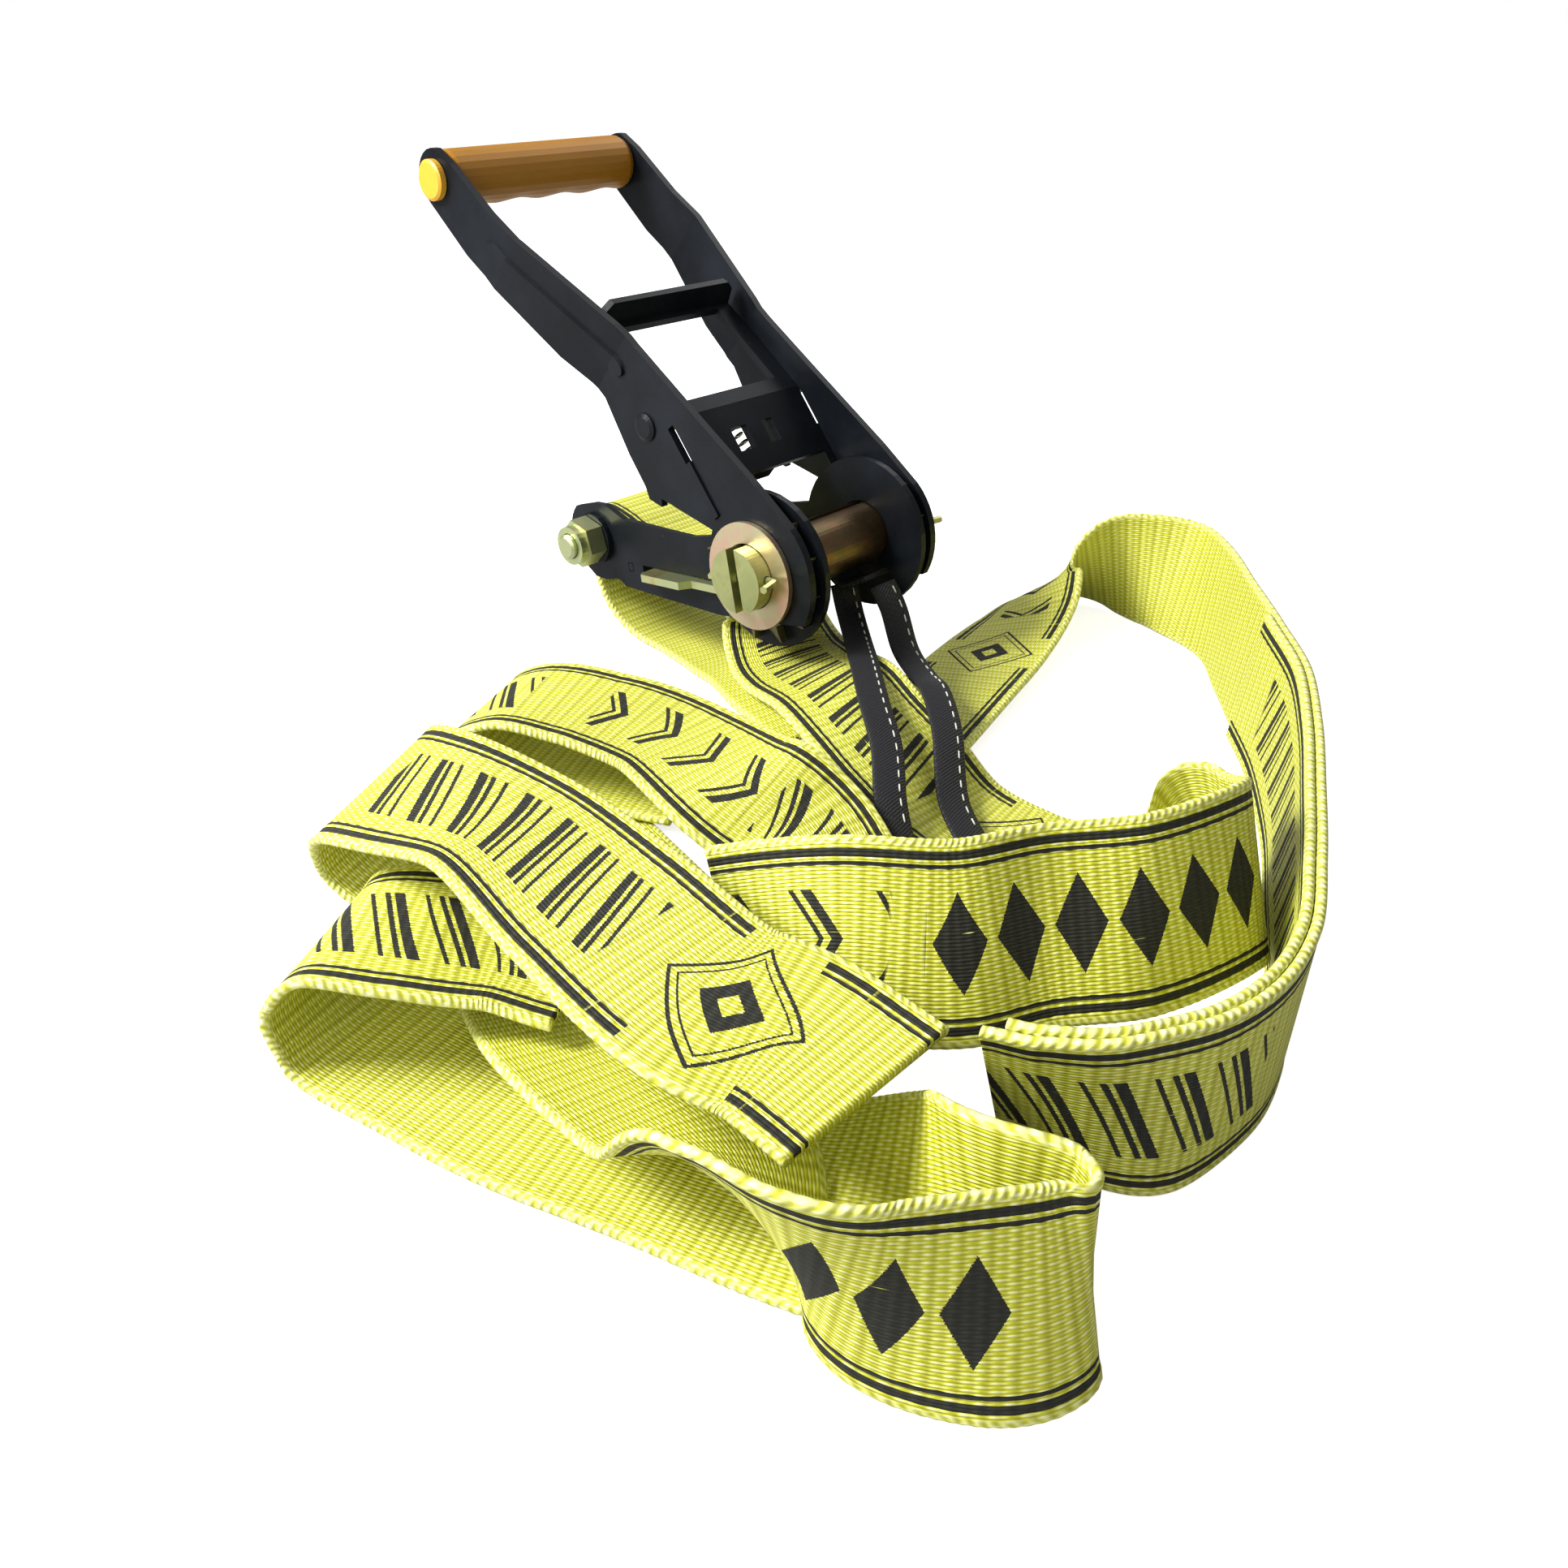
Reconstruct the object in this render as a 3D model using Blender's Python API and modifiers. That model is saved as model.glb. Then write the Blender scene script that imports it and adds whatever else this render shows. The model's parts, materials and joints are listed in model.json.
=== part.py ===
# Ratchet slackline: a long-handled tensioning ratchet, the black strap through its drum,
# and one 50 mm webbing sewn round the tail bolt and lying in a loose pile.
# X runs along the drum axis, Y from the drum towards the tail bolt, Z up, floor at zero.
import math

import bmesh
import bpy
import numpy as np
from mathutils import Matrix, Vector

for old in list(bpy.data.objects):
    bpy.data.objects.remove(old, do_unlink=True)

# where the ratchet stands
DRUM_HEIGHT = 0.055
DRUM_ACROSS = 0.0598
DRUM_ALONG = 0.0430
HANDLE_LIFT_DEG = 38.6
TAIL_DROP_DEG = -6.6

# clearances
RUN_GAP = 0.0003
SLIDE_GAP = 0.0003
SEAT_GAP = 0.0003
CUT_OVERRUN = 0.002
WELD_DISTANCE = 0.00001

# split drum
DRUM_RADIUS = 0.012
DRUM_SLOT = 0.004
DRUM_CHAMFER = 0.0005
SLOT_TURN_DEG = 78.6

# side plates of the tail frame
FRAME_PLATE = 0.0026
FRAME_REACH = 0.0979
FRAME_NOSE = 0.0292
TAIL_ROUND = 0.0160
TAIL_BOLT_SINK = 0.0005

# toothed wheels
WHEEL_THICKNESS = 0.0036
WHEEL_TIP_RADIUS = 0.0270
WHEEL_ROOT_RADIUS = 0.0205
WHEEL_TEETH = 12

# handle plates
HANDLE_PLATE = 0.0030
HANDLE_LENGTH = 0.1987
HANDLE_NOSE = 0.0283
HANDLE_HEEL = 0.0180
HANDLE_SPLAY = 0.0114
RIB_HEIGHT = 0.0012
RIB_WIDTH = 0.0090

# washers and split pins on the drum
WASHER_RADIUS = 0.0200
WASHER_THICKNESS = 0.0020
PIN_WIRE = 0.0014
PIN_HALF_LENGTH = 0.0175
PIN_TAIL = 0.0075
PIN_FROM_END = 0.0045
PIN_CLEAR = 0.0010

# grip and cross rod
GRIP_RADIUS = 0.0103
GRIP_GROOVE = 0.0016
GRIP_FINGERS = 4
GRIP_ROD_RADIUS = 0.0040
GRIP_FROM_TIP = 0.0029
GRIP_AXIS_T = -0.0018
CAP_RADIUS = 0.0073
CAP_PROUD = 0.0030
CROSS_ROD_RADIUS = 0.0035
CROSS_ROD_S = 0.0695
RIVET_HEAD_RADIUS = 0.0052
RIVET_HEAD_PROUD = 0.0012

# pull pawl on the handle
PAWL_PLATE = 0.0030
PAWL_TIP_S = 0.0238
PAWL_TIP_T = 0.0028
PAWL_SLOPE_DEG = 11.8
PAWL_TAB_LENGTH = 0.0230
PAWL_TRAVEL = 0.0140
PAWL_TAB_PROUD = 0.0009
PAWL_THROAT = 0.0120
PAWL_BEND = 0.0395
PAWL_ARM = 0.0470
PAWL_LIP = 0.0100
PAWL_ARM_WIDTH = 0.0075
PAWL_LUG_DROP = 0.0090
PAWL_LUG_AT = 0.0150
PAWL_LUG_WIDTH = 0.0110

# lock pawl in the tail frame
LOCK_PLATE = 0.0030
LOCK_TIP = 0.0220
LOCK_DROP = 0.0103
LOCK_TAB_START = 0.0346
LOCK_TAB_END = 0.0638
LOCK_TRAVEL = 0.0060
LOCK_TAB_PROUD = 0.0042
CROSSBAR_AT = 0.0780
CROSSBAR_THICKNESS = 0.0025
CROSSBAR_HEIGHT = 0.0090

# springs
SPRING_RADIUS = 0.0030
SPRING_WIRE = 0.0005
SPRING_TURNS = 7
LOCK_SPRING_TURNS = 4

# tail bolt, its nut, washer and sleeve
BOLT_RADIUS = 0.0050
BOLT_END_PROUD = 0.0165
SLEEVE_RADIUS = 0.0085
SLEEVE_WALL = 0.0030
NUT_ACROSS_FLATS = 0.0170
NUT_HEIGHT = 0.0080
NUT_COLLAR_RADIUS = 0.0079
NUT_COLLAR_HEIGHT = 0.0035
BOLT_HEAD_HEIGHT = 0.0064
TAIL_WASHER_RADIUS = 0.0105
TAIL_WASHER_THICKNESS = 0.0020

# webbing
WEB_WIDTH = 0.0500
WEB_THICKNESS = 0.0026
WEB_STEP = 0.0055
WEB_JOIN_GAP = 0.0006
WEB_SIDE_GAP = 0.0010
SEAM_GAP = 0.0004

# black safety strap
STRAP_WIDTH = 0.0110
STRAP_THICKNESS = 0.0022
STRAP_BRIDGE_WIDTH = 0.0150

CIRCLE_STEPS = 48
SMALL_STEPS = 24

# the frame takes the webbing between its plates
FRAME_INNER = WEB_WIDTH / 2 + WEB_SIDE_GAP
T_ROUTE = [
    ((-0.0450, -0.0520, -0.0378), (0.95, -0.30, 0.10)),
    ((-0.0325, -0.0180, -0.0410), (0.94, -0.33, 0.10)),
    ((-0.0180, 0.0100, -0.0460), (0.97, -0.25, 0.05)),
    ((-0.0070, 0.0360, -0.0520), (1.00, -0.10, 0.00)),
    ((-0.0010, 0.0600, -0.0537), (1.00, -0.03, 0.00)),
    ((0.0000, 0.0840, -0.0515), (1.00, 0.00, 0.00)),
    ((0.0000, 0.0980, -0.0430), (1.00, 0.00, 0.00)),
    ((0.0000, 0.1060, -0.0260), (1.00, 0.00, 0.00)),
    ((0.0000, 0.1082, -0.0118), (1.00, 0.00, 0.00)),
    ((0.0000, 0.1053, -0.0040), (1.00, 0.00, 0.00)),
    ((0.0000, 0.0980, -0.0008), (1.00, 0.00, 0.00)),
    ((0.0000, 0.0860, -0.0024), (1.00, 0.00, 0.00)),
    ((0.0000, 0.0680, -0.0085), (1.00, 0.00, 0.00)),
    ((0.0000, 0.0420, -0.0082), (1.00, 0.00, 0.00)),
    ((0.0000, 0.0310, -0.0130), (1.00, 0.00, 0.00)),
    ((0.0000, 0.0260, -0.0250), (1.00, 0.00, 0.00)),
    ((-0.0015, 0.0195, -0.0345), (1.00, -0.03, 0.00)),
    ((-0.0105, 0.0060, -0.0395), (0.98, -0.20, 0.03)),
    ((-0.0260, -0.0170, -0.0355), (0.94, -0.33, 0.10)),
    ((-0.0370, -0.0420, -0.0305), (0.95, -0.30, 0.10)),
    ((-0.0440, -0.0620, -0.0338), (0.97, -0.25, 0.06)),
    ((-0.0480, -0.0800, -0.0395), (0.98, -0.15, 0.10)),
    ((-0.0520, -0.1060, -0.0492), (1.00, -0.05, 0.00)),
    ((-0.0490, -0.1320, -0.0530), (0.99, 0.15, 0.00)),
    ((-0.0410, -0.1570, -0.0460), (0.89, 0.31, -0.35)),
    ((-0.0320, -0.1800, -0.0360), (0.41, 0.15, -0.90)),
    ((-0.0450, -0.1990, -0.0285), (-0.05, -0.25, -0.97)),
    ((-0.0705, -0.2116, -0.0145), (-0.18, -0.37, -0.91)),
    ((-0.1050, -0.2030, -0.0125), (-0.47, -0.25, -0.85)),
    ((-0.1255, -0.1860, -0.0135), (-0.46, -0.30, -0.83)),
    ((-0.1460, -0.1750, -0.0130), (-0.45, -0.32, -0.84)),
    ((-0.1630, -0.1520, -0.0140), (-0.40, -0.25, -0.88)),
    ((-0.1700, -0.1220, -0.0260), (-0.15, -0.05, -0.99)),
]
J_ROUTE = [
    ((-0.1097, -0.1015, -0.0430), (-0.93, 0.36, 0.00)),
    ((-0.1055, -0.0860, -0.0375), (-0.93, 0.36, -0.10)),
    ((-0.1080, -0.0645, -0.0305), (-0.89, 0.42, -0.18)),
    ((-0.1035, -0.0270, -0.0290), (-0.97, 0.24, 0.00)),
    ((-0.1120, 0.0020, -0.0255), (-0.99, -0.10, 0.00)),
    ((-0.1240, 0.0260, -0.0250), (-0.91, -0.41, 0.00)),
    ((-0.1310, 0.0390, -0.0340), (-0.91, -0.42, 0.00)),
    ((-0.1270, 0.0330, -0.0465), (-0.91, -0.42, 0.00)),
    ((-0.1200, 0.0180, -0.0498), (-0.92, -0.38, 0.00)),
    ((-0.1120, 0.0020, -0.0500), (-0.93, -0.36, 0.00)),
    ((-0.1030, -0.0160, -0.0500), (-0.94, -0.33, 0.00)),
    ((-0.0960, -0.0320, -0.0500), (-0.94, -0.33, 0.00)),
]
K_ROUTE = [
    ((-0.1240, 0.0300, -0.0537), (-0.95, 0.30, 0.00)),
    ((-0.1340, 0.0020, -0.0537), (-0.96, 0.28, 0.00)),
    ((-0.1420, -0.0260, -0.0537), (-0.97, 0.25, 0.00)),
    ((-0.1500, -0.0580, -0.0537), (-0.97, 0.25, 0.00)),
    ((-0.1580, -0.0900, -0.0537), (-0.97, 0.25, 0.00)),
]
B_ROUTE = [
    ((-0.0500, -0.0670, -0.0525), (-0.20, 0.98, -0.06)),
    ((-0.0150, -0.0600, -0.0518), (-0.20, 0.97, -0.12)),
    ((0.0200, -0.0520, -0.0515), (-0.18, 0.97, -0.15)),
    ((0.0570, -0.0440, -0.0505), (-0.08, 0.98, -0.20)),
    ((0.0885, -0.0380, -0.0465), (0.06, 0.93, -0.36)),
    ((0.1150, -0.0330, -0.0390), (0.25, 0.74, -0.62)),
    ((0.1310, -0.0465, -0.0320), (0.20, 0.45, -0.87)),
    ((0.1370, -0.0660, -0.0300), (0.00, 0.05, -1.00)),
    ((0.1367, -0.0840, -0.0300), (-0.25, -0.05, -0.97)),
    ((0.1240, -0.1040, -0.0298), (-0.08, 0.02, -1.00)),
    ((0.0980, -0.1260, -0.0302), (0.16, 0.24, -0.96)),
    ((0.0710, -0.1480, -0.0310), (0.20, 0.30, -0.93)),
    ((0.0420, -0.1710, -0.0306), (0.15, 0.25, -0.96)),
    ((0.0080, -0.1910, -0.0298), (0.05, 0.12, -0.99)),
    ((-0.0276, -0.2082, -0.0297), (0.03, 0.08, -1.00)),
    ((-0.0616, -0.2242, -0.0297), (0.05, 0.05, -1.00)),
    ((-0.0916, -0.2363, -0.0298), (0.08, 0.04, -1.00)),
    ((-0.1160, -0.2395, -0.0299), (0.06, 0.02, -1.00)),
    ((-0.1415, -0.2340, -0.0301), (-0.10, 0.04, -0.99)),
    ((-0.1550, -0.2220, -0.0303), (0.10, 0.10, -0.99)),
    ((-0.1605, -0.2080, -0.0305), (0.25, 0.25, -0.93)),
    ((-0.1630, -0.1980, -0.0308), (0.30, 0.30, -0.90)),
]
I_ROUTE = [
    ((-0.1970, -0.0980, -0.0310), (-0.86, -0.51, -0.05)),
    ((-0.2070, -0.0800, -0.0290), (-0.84, -0.54, 0.00)),
    ((-0.2230, -0.0630, -0.0240), (-0.86, -0.50, -0.05)),
    ((-0.2360, -0.0470, -0.0250), (-0.86, -0.50, 0.00)),
    ((-0.2410, -0.0410, -0.0370), (-0.86, -0.50, 0.00)),
    ((-0.2390, -0.0490, -0.0500), (-0.88, -0.48, 0.00)),
    ((-0.2330, -0.0730, -0.0537), (-0.95, -0.30, 0.00)),
    ((-0.2250, -0.1100, -0.0537), (-0.97, -0.25, 0.00)),
    ((-0.2130, -0.1480, -0.0530), (-0.97, -0.25, -0.02)),
    ((-0.2060, -0.1760, -0.0475), (-0.93, -0.30, -0.22)),
    ((-0.2000, -0.2020, -0.0380), (-0.70, -0.28, -0.65)),
    ((-0.1960, -0.2220, -0.0300), (-0.15, -0.20, -0.97)),
    ((-0.1910, -0.2370, -0.0300), (0.00, -0.20, -0.98)),
    ((-0.1985, -0.2425, -0.0310), (-0.18, -0.30, -0.93)),
    ((-0.2130, -0.2325, -0.0300), (-0.16, -0.26, -0.95)),
    ((-0.2255, -0.2180, -0.0295), (-0.06, -0.16, -0.99)),
    ((-0.2270, -0.1920, -0.0180), (0.54, 0.08, -0.84)),
    ((-0.2155, -0.1575, -0.0340), (0.91, 0.30, -0.28)),
    ((-0.2090, -0.1120, -0.0415), (0.93, 0.24, -0.26)),
    ((-0.1955, -0.0780, -0.0500), (0.95, 0.24, -0.17)),
]
F_ROUTE = [
    ((-0.1840, -0.0440, -0.0508), (0.99, -0.10, 0.00)),
    ((-0.1880, -0.0160, -0.0475), (0.99, 0.10, 0.05)),
    ((-0.1940, 0.0010, -0.0330), (0.94, 0.13, 0.31)),
    ((-0.1990, -0.0070, -0.0150), (0.93, 0.10, 0.34)),
    ((-0.2000, -0.0300, -0.0060), (0.96, 0.05, 0.26)),
    ((-0.1945, -0.0645, -0.0045), (0.99, 0.10, 0.02)),
    ((-0.1995, -0.1085, -0.0065), (0.99, 0.02, 0.14)),
    ((-0.2025, -0.1475, -0.0100), (0.99, 0.02, 0.12)),
    ((-0.1975, -0.1680, -0.0125), (0.99, -0.08, 0.12)),
    ((-0.1975, -0.1820, -0.0135), (0.98, -0.15, 0.10)),
    ((-0.1980, -0.1910, -0.0140), (0.97, -0.20, 0.10)),
]
LEFT_LEG_ROUTE = [
    ((0.0120, -0.0030, -0.0165), (0.75, -0.66, 0.0)),
    ((0.0095, -0.0080, -0.0245), (0.75, -0.66, 0.0)),
    ((-0.0020, -0.0220, -0.0290), (0.80, -0.60, 0.0)),
    ((-0.0260, -0.0460, -0.0250), (0.75, -0.66, 0.0)),
    ((-0.0450, -0.0660, -0.0255), (0.75, -0.66, 0.0)),
    ((-0.0590, -0.0830, -0.0305), (0.80, -0.60, 0.0)),
    ((-0.0750, -0.0980, -0.0379), (0.85, -0.53, 0.0)),
    ((-0.0822, -0.1070, -0.0446), (0.85, -0.53, 0.0)),
]
RIGHT_LEG_ROUTE = [
    ((0.0140, -0.0205, -0.0125), (0.80, -0.60, 0.0)),
    ((0.0130, -0.0270, -0.0200), (0.80, -0.60, 0.0)),
    ((0.0060, -0.0390, -0.0310), (0.80, -0.60, 0.0)),
    ((-0.0060, -0.0570, -0.0325), (0.80, -0.60, 0.0)),
    ((-0.0138, -0.0722, -0.0290), (0.80, -0.60, 0.0)),
    ((-0.0330, -0.0880, -0.0325), (0.85, -0.53, 0.0)),
    ((-0.0520, -0.1060, -0.0446), (0.90, -0.44, 0.0)),
    ((-0.0620, -0.1210, -0.0488), (0.90, -0.44, 0.0)),
]
BRIDGE_ROUTE = [
    ((0.0130, 0.0005, 0.0025), (1.0, 0.0, 0.0)),
    ((0.0130, -0.0008, -0.0045), (1.0, 0.0, 0.0)),
    ((0.0130, -0.0022, -0.0115), (1.0, 0.0, 0.0)),
    ((0.0130, -0.0060, -0.0145), (1.0, 0.0, 0.0)),
    ((0.0132, -0.0125, -0.0120), (1.0, 0.0, 0.0)),
    ((0.0136, -0.0180, -0.0090), (1.0, 0.0, 0.0)),
]
END_LAP_START = 11.0
END_LAP_END = 20.6
END_LAP_SIDE = -1.0

parts = bpy.data.collections.new("slackline_ratchet")
cutters = bpy.data.collections.new("cutters")
bpy.context.scene.collection.children.link(parts)
bpy.context.scene.collection.children.link(cutters)


def make_material(name, colour, roughness, metallic):
    material = bpy.data.materials.new(name)
    material.use_nodes = True
    shader = material.node_tree.nodes["Principled BSDF"]
    shader.inputs["Base Color"].default_value = (*colour, 1.0)
    shader.inputs["Roughness"].default_value = roughness
    shader.inputs["Metallic"].default_value = metallic
    material.diffuse_color = (*colour, 1.0)
    return material


LOOKS = {
    "black_steel": ((0.018, 0.021, 0.027), 0.38, 0.35),
    "zinc_yellow": ((0.52, 0.47, 0.22), 0.32, 0.9),
    "zinc_pink": ((0.60, 0.42, 0.30), 0.35, 0.85),
    "drum_bronze": ((0.20, 0.13, 0.06), 0.25, 0.9),
    "spring_steel": ((0.45, 0.43, 0.38), 0.3, 0.95),
    "amber_grip": ((0.60, 0.30, 0.03), 0.45, 0.0),
    "webbing": ((0.72, 0.78, 0.04), 0.7, 0.0),
    "strap_black": ((0.02, 0.02, 0.022), 0.75, 0.0),
}


def look(name, key):
    colour, roughness, metallic = LOOKS[key]
    return make_material(name + "_material", colour, roughness, metallic)


def frame_matrix(along, up, place):
    # columns: along the plate, up the plate, and world X as the plate's normal
    across = along.cross(up)
    matrix = Matrix((along, up, across)).transposed().to_4x4()
    matrix.translation = place
    return matrix


def axis_empty(name, angle_deg, place):
    angle = math.radians(angle_deg)
    along = Vector((0, math.cos(angle), math.sin(angle)))
    up = Vector((0, -math.sin(angle), math.cos(angle)))
    empty = bpy.data.objects.new(name, None)
    empty.matrix_world = frame_matrix(along, up, place)
    parts.objects.link(empty)
    return empty


DRUM_CENTRE = Vector((DRUM_ACROSS, DRUM_ALONG, DRUM_HEIGHT))
handle_axis = axis_empty("handle_axis", HANDLE_LIFT_DEG, DRUM_CENTRE)
tail_axis = axis_empty("tail_axis", TAIL_DROP_DEG, DRUM_CENTRE)
drum_axis = axis_empty("drum_axis", SLOT_TURN_DEG, DRUM_CENTRE)
bpy.context.view_layer.update()


def finish(name, mesh, key, parent, smooth=False):
    piece = bpy.data.objects.new(name, mesh)
    parts.objects.link(piece)
    mesh.materials.clear()
    mesh.materials.append(look(name, key))
    if parent is not None:
        piece.parent = parent
    if smooth:
        mesh.shade_smooth()
        mesh.set_sharp_from_angle(angle=math.radians(35))
    return piece


def close_up(work, mesh):
    # faces outwards, back into the mesh
    bmesh.ops.recalc_face_normals(work, faces=work.faces)
    if work.calc_volume(signed=True) < 0:
        bmesh.ops.reverse_faces(work, faces=work.faces)
    work.to_mesh(mesh)
    work.free()
    return mesh


def weld(mesh):
    work = bmesh.new()
    work.from_mesh(mesh)
    bmesh.ops.remove_doubles(work, verts=work.verts, dist=WELD_DISTANCE)
    return close_up(work, mesh)


def curve_mesh(curve):
    holder = bpy.data.objects.new("holder", curve)
    bpy.context.scene.collection.objects.link(holder)
    graph = bpy.context.evaluated_depsgraph_get()
    mesh = bpy.data.meshes.new_from_object(holder.evaluated_get(graph))
    bpy.data.objects.remove(holder, do_unlink=True)
    return weld(mesh)


def outline_mesh(loops, thickness, middle):
    # flat outline, its first loop the edge and the others its holes, centred on the height middle
    curve = bpy.data.curves.new("outline", "CURVE")
    curve.dimensions = "2D"
    curve.fill_mode = "BOTH"
    curve.extrude = thickness / 2
    for loop in loops:
        spline = curve.splines.new("POLY")
        spline.points.add(len(loop) - 1)
        for point, (x, y) in zip(spline.points, loop):
            point.co = (x, y, 0, 1)
        spline.use_cyclic_u = True
    mesh = curve_mesh(curve)
    mesh.transform(Matrix.Translation((0, 0, middle)))
    return mesh


def tube_mesh(points, radius, resolution=2):
    curve = bpy.data.curves.new("tube", "CURVE")
    curve.dimensions = "3D"
    curve.bevel_depth = radius
    curve.bevel_resolution = resolution
    curve.use_fill_caps = True
    spline = curve.splines.new("POLY")
    spline.points.add(len(points) - 1)
    for point, place in zip(spline.points, points):
        point.co = (*place, 1)
    return curve_mesh(curve)


def arc(centre, radius, start_deg, end_deg, steps):
    turns = np.radians(np.linspace(start_deg, end_deg, steps))
    return [(centre[0] + radius * math.cos(turn), centre[1] + radius * math.sin(turn)) for turn in turns]


def circle(centre, radius, steps=CIRCLE_STEPS):
    return arc(centre, radius, 0, 360 - 360 / steps, steps)


def round_slot(start, end, half, steps=9):
    # slot with round ends along the line from start to end
    angle = math.degrees(math.atan2(end[1] - start[1], end[0] - start[0]))
    return arc(end, half, angle - 90, angle + 90, steps) + arc(start, half, angle + 90, angle + 270, steps)


def turned_mesh(profile, steps=SMALL_STEPS):
    # profile of (distance from the axis, place along it) turned about local Z with Screw
    mesh = bpy.data.meshes.new("profile")
    mesh.from_pydata([(r, 0, z) for r, z in profile], [(i, i + 1) for i in range(len(profile) - 1)], [])
    holder = bpy.data.objects.new("holder", mesh)
    bpy.context.scene.collection.objects.link(holder)
    screw = holder.modifiers.new("turn", "SCREW")
    screw.steps = steps
    screw.render_steps = steps
    screw.use_merge_vertices = True
    screw.merge_threshold = WELD_DISTANCE
    graph = bpy.context.evaluated_depsgraph_get()
    result = bpy.data.meshes.new_from_object(holder.evaluated_get(graph))
    bpy.data.objects.remove(holder, do_unlink=True)
    return weld(result)


def ring_mesh(inner, outer, low, high, steps=SMALL_STEPS):
    return turned_mesh([(outer, high), (outer, low), (inner, low), (inner, high), (outer, high)], steps)


def add_cut(piece, name, mesh, parent, operation="DIFFERENCE"):
    tool = bpy.data.objects.new(name, mesh)
    cutters.objects.link(tool)
    tool.parent = parent
    tool.hide_render = True
    tool.display_type = "WIRE"
    step = piece.modifiers.new(name, "BOOLEAN")
    step.operation = operation
    step.solver = "EXACT"
    step.object = tool


def box_mesh(x_range, y_range, z_range):
    work = bmesh.new()
    bmesh.ops.create_cube(work, size=1.0)
    size = [high - low for low, high in (x_range, y_range, z_range)]
    middle = [(high + low) / 2 for low, high in (x_range, y_range, z_range)]
    bmesh.ops.scale(work, vec=size, verts=work.verts)
    bmesh.ops.translate(work, vec=middle, verts=work.verts)
    mesh = bpy.data.meshes.new("box")
    work.to_mesh(mesh)
    work.free()
    return mesh


# levels across the ratchet, from the middle outwards
FRAME_OUTER = FRAME_INNER + FRAME_PLATE
WHEEL_INNER = FRAME_OUTER + RUN_GAP
WHEEL_OUTER = WHEEL_INNER + WHEEL_THICKNESS
HANDLE_INNER = WHEEL_OUTER + RUN_GAP
HANDLE_OUTER = HANDLE_INNER + HANDLE_PLATE
WASHER_INNER = HANDLE_OUTER + SEAT_GAP
WASHER_OUTER = WASHER_INNER + WASHER_THICKNESS
DRUM_BORE = DRUM_RADIUS + RUN_GAP
SIDES = (("near", -1), ("far", 1))


# split drum: two half-round bars with a slot between
def half_moon(radius, slot, side):
    # flat face at half the slot, the rest on the drum's circle
    open_deg = math.degrees(math.asin(slot / 2 / radius))
    if side > 0:
        return arc((0, 0), radius, open_deg, 180 - open_deg, CIRCLE_STEPS // 2)
    return arc((0, 0), radius, 180 + open_deg, 360 - open_deg, CIRCLE_STEPS // 2)


PIN_PLACE = WASHER_OUTER + PIN_CLEAR + PIN_WIRE
DRUM_HALF_LENGTH = PIN_PLACE + PIN_FROM_END
GRIP_AXIS_S = HANDLE_LENGTH - GRIP_FROM_TIP
for half_name, half_side in (("upper", 1), ("lower", -1)):
    bar = finish("drum_half_" + half_name,
                 outline_mesh([half_moon(DRUM_RADIUS, DRUM_SLOT, half_side)], DRUM_HALF_LENGTH * 2, 0),
                 "drum_bronze", drum_axis, True)
    for side_name, side in SIDES:
        hole = ring_mesh(0, PIN_WIRE + SEAT_GAP, -DRUM_RADIUS - CUT_OVERRUN, DRUM_RADIUS + CUT_OVERRUN, 12)
        hole.transform(Matrix.Rotation(math.radians(-90), 4, "X"))
        hole.transform(Matrix.Translation((0, 0, side * PIN_PLACE)))
        add_cut(bar, "pin_hole_" + half_name + "_" + side_name, hole, drum_axis)


# toothed wheels
# a tooth: (share of the pitch, share of the way from root to tip), steep face first
TOOTH_SHARES = ((0.03, 0.0), (0.05, 0.45), (0.03, 0.80), (0.015, 1.0), (0.065, 0.95), (0.13, 0.74),
                (0.20, 0.48), (0.30, 0.24), (0.44, 0.07), (0.64, 0.0), (0.84, 0.0))
TOOTH_DEPTH = WHEEL_TIP_RADIUS - WHEEL_ROOT_RADIUS
LOCK_TOP = LOCK_DROP - LOCK_PLATE / 2
LOCK_FACE_DEG = TAIL_DROP_DEG - math.degrees(math.asin(LOCK_TOP / WHEEL_TIP_RADIUS))


def wheel_outline():
    points = []
    for tooth in range(WHEEL_TEETH):
        for turn_share, height_share in TOOTH_SHARES:
            angle = math.radians(LOCK_FACE_DEG + (tooth + turn_share) * 360 / WHEEL_TEETH)
            radius = WHEEL_ROOT_RADIUS + TOOTH_DEPTH * height_share
            points.append((radius * math.cos(angle), radius * math.sin(angle)))
    return points


def d_hole(side):
    # hole for one half of the drum, with its own clearance all round
    return half_moon(DRUM_BORE, DRUM_SLOT - SEAT_GAP * 2, side)


wheel_axis = axis_empty("wheel_axis", 0, DRUM_CENTRE)
wheel_turn = math.radians(SLOT_TURN_DEG)


def turn_points(points, angle):
    return [(x * math.cos(angle) - y * math.sin(angle), x * math.sin(angle) + y * math.cos(angle)) for x, y in points]


for side_name, side in SIDES:
    loops = [wheel_outline(), turn_points(d_hole(1), wheel_turn), turn_points(d_hole(-1), wheel_turn)]
    finish("toothed_wheel_" + side_name,
           outline_mesh(loops, WHEEL_THICKNESS, side * (WHEEL_INNER + WHEEL_OUTER) / 2),
           "zinc_yellow", wheel_axis, False)


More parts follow.
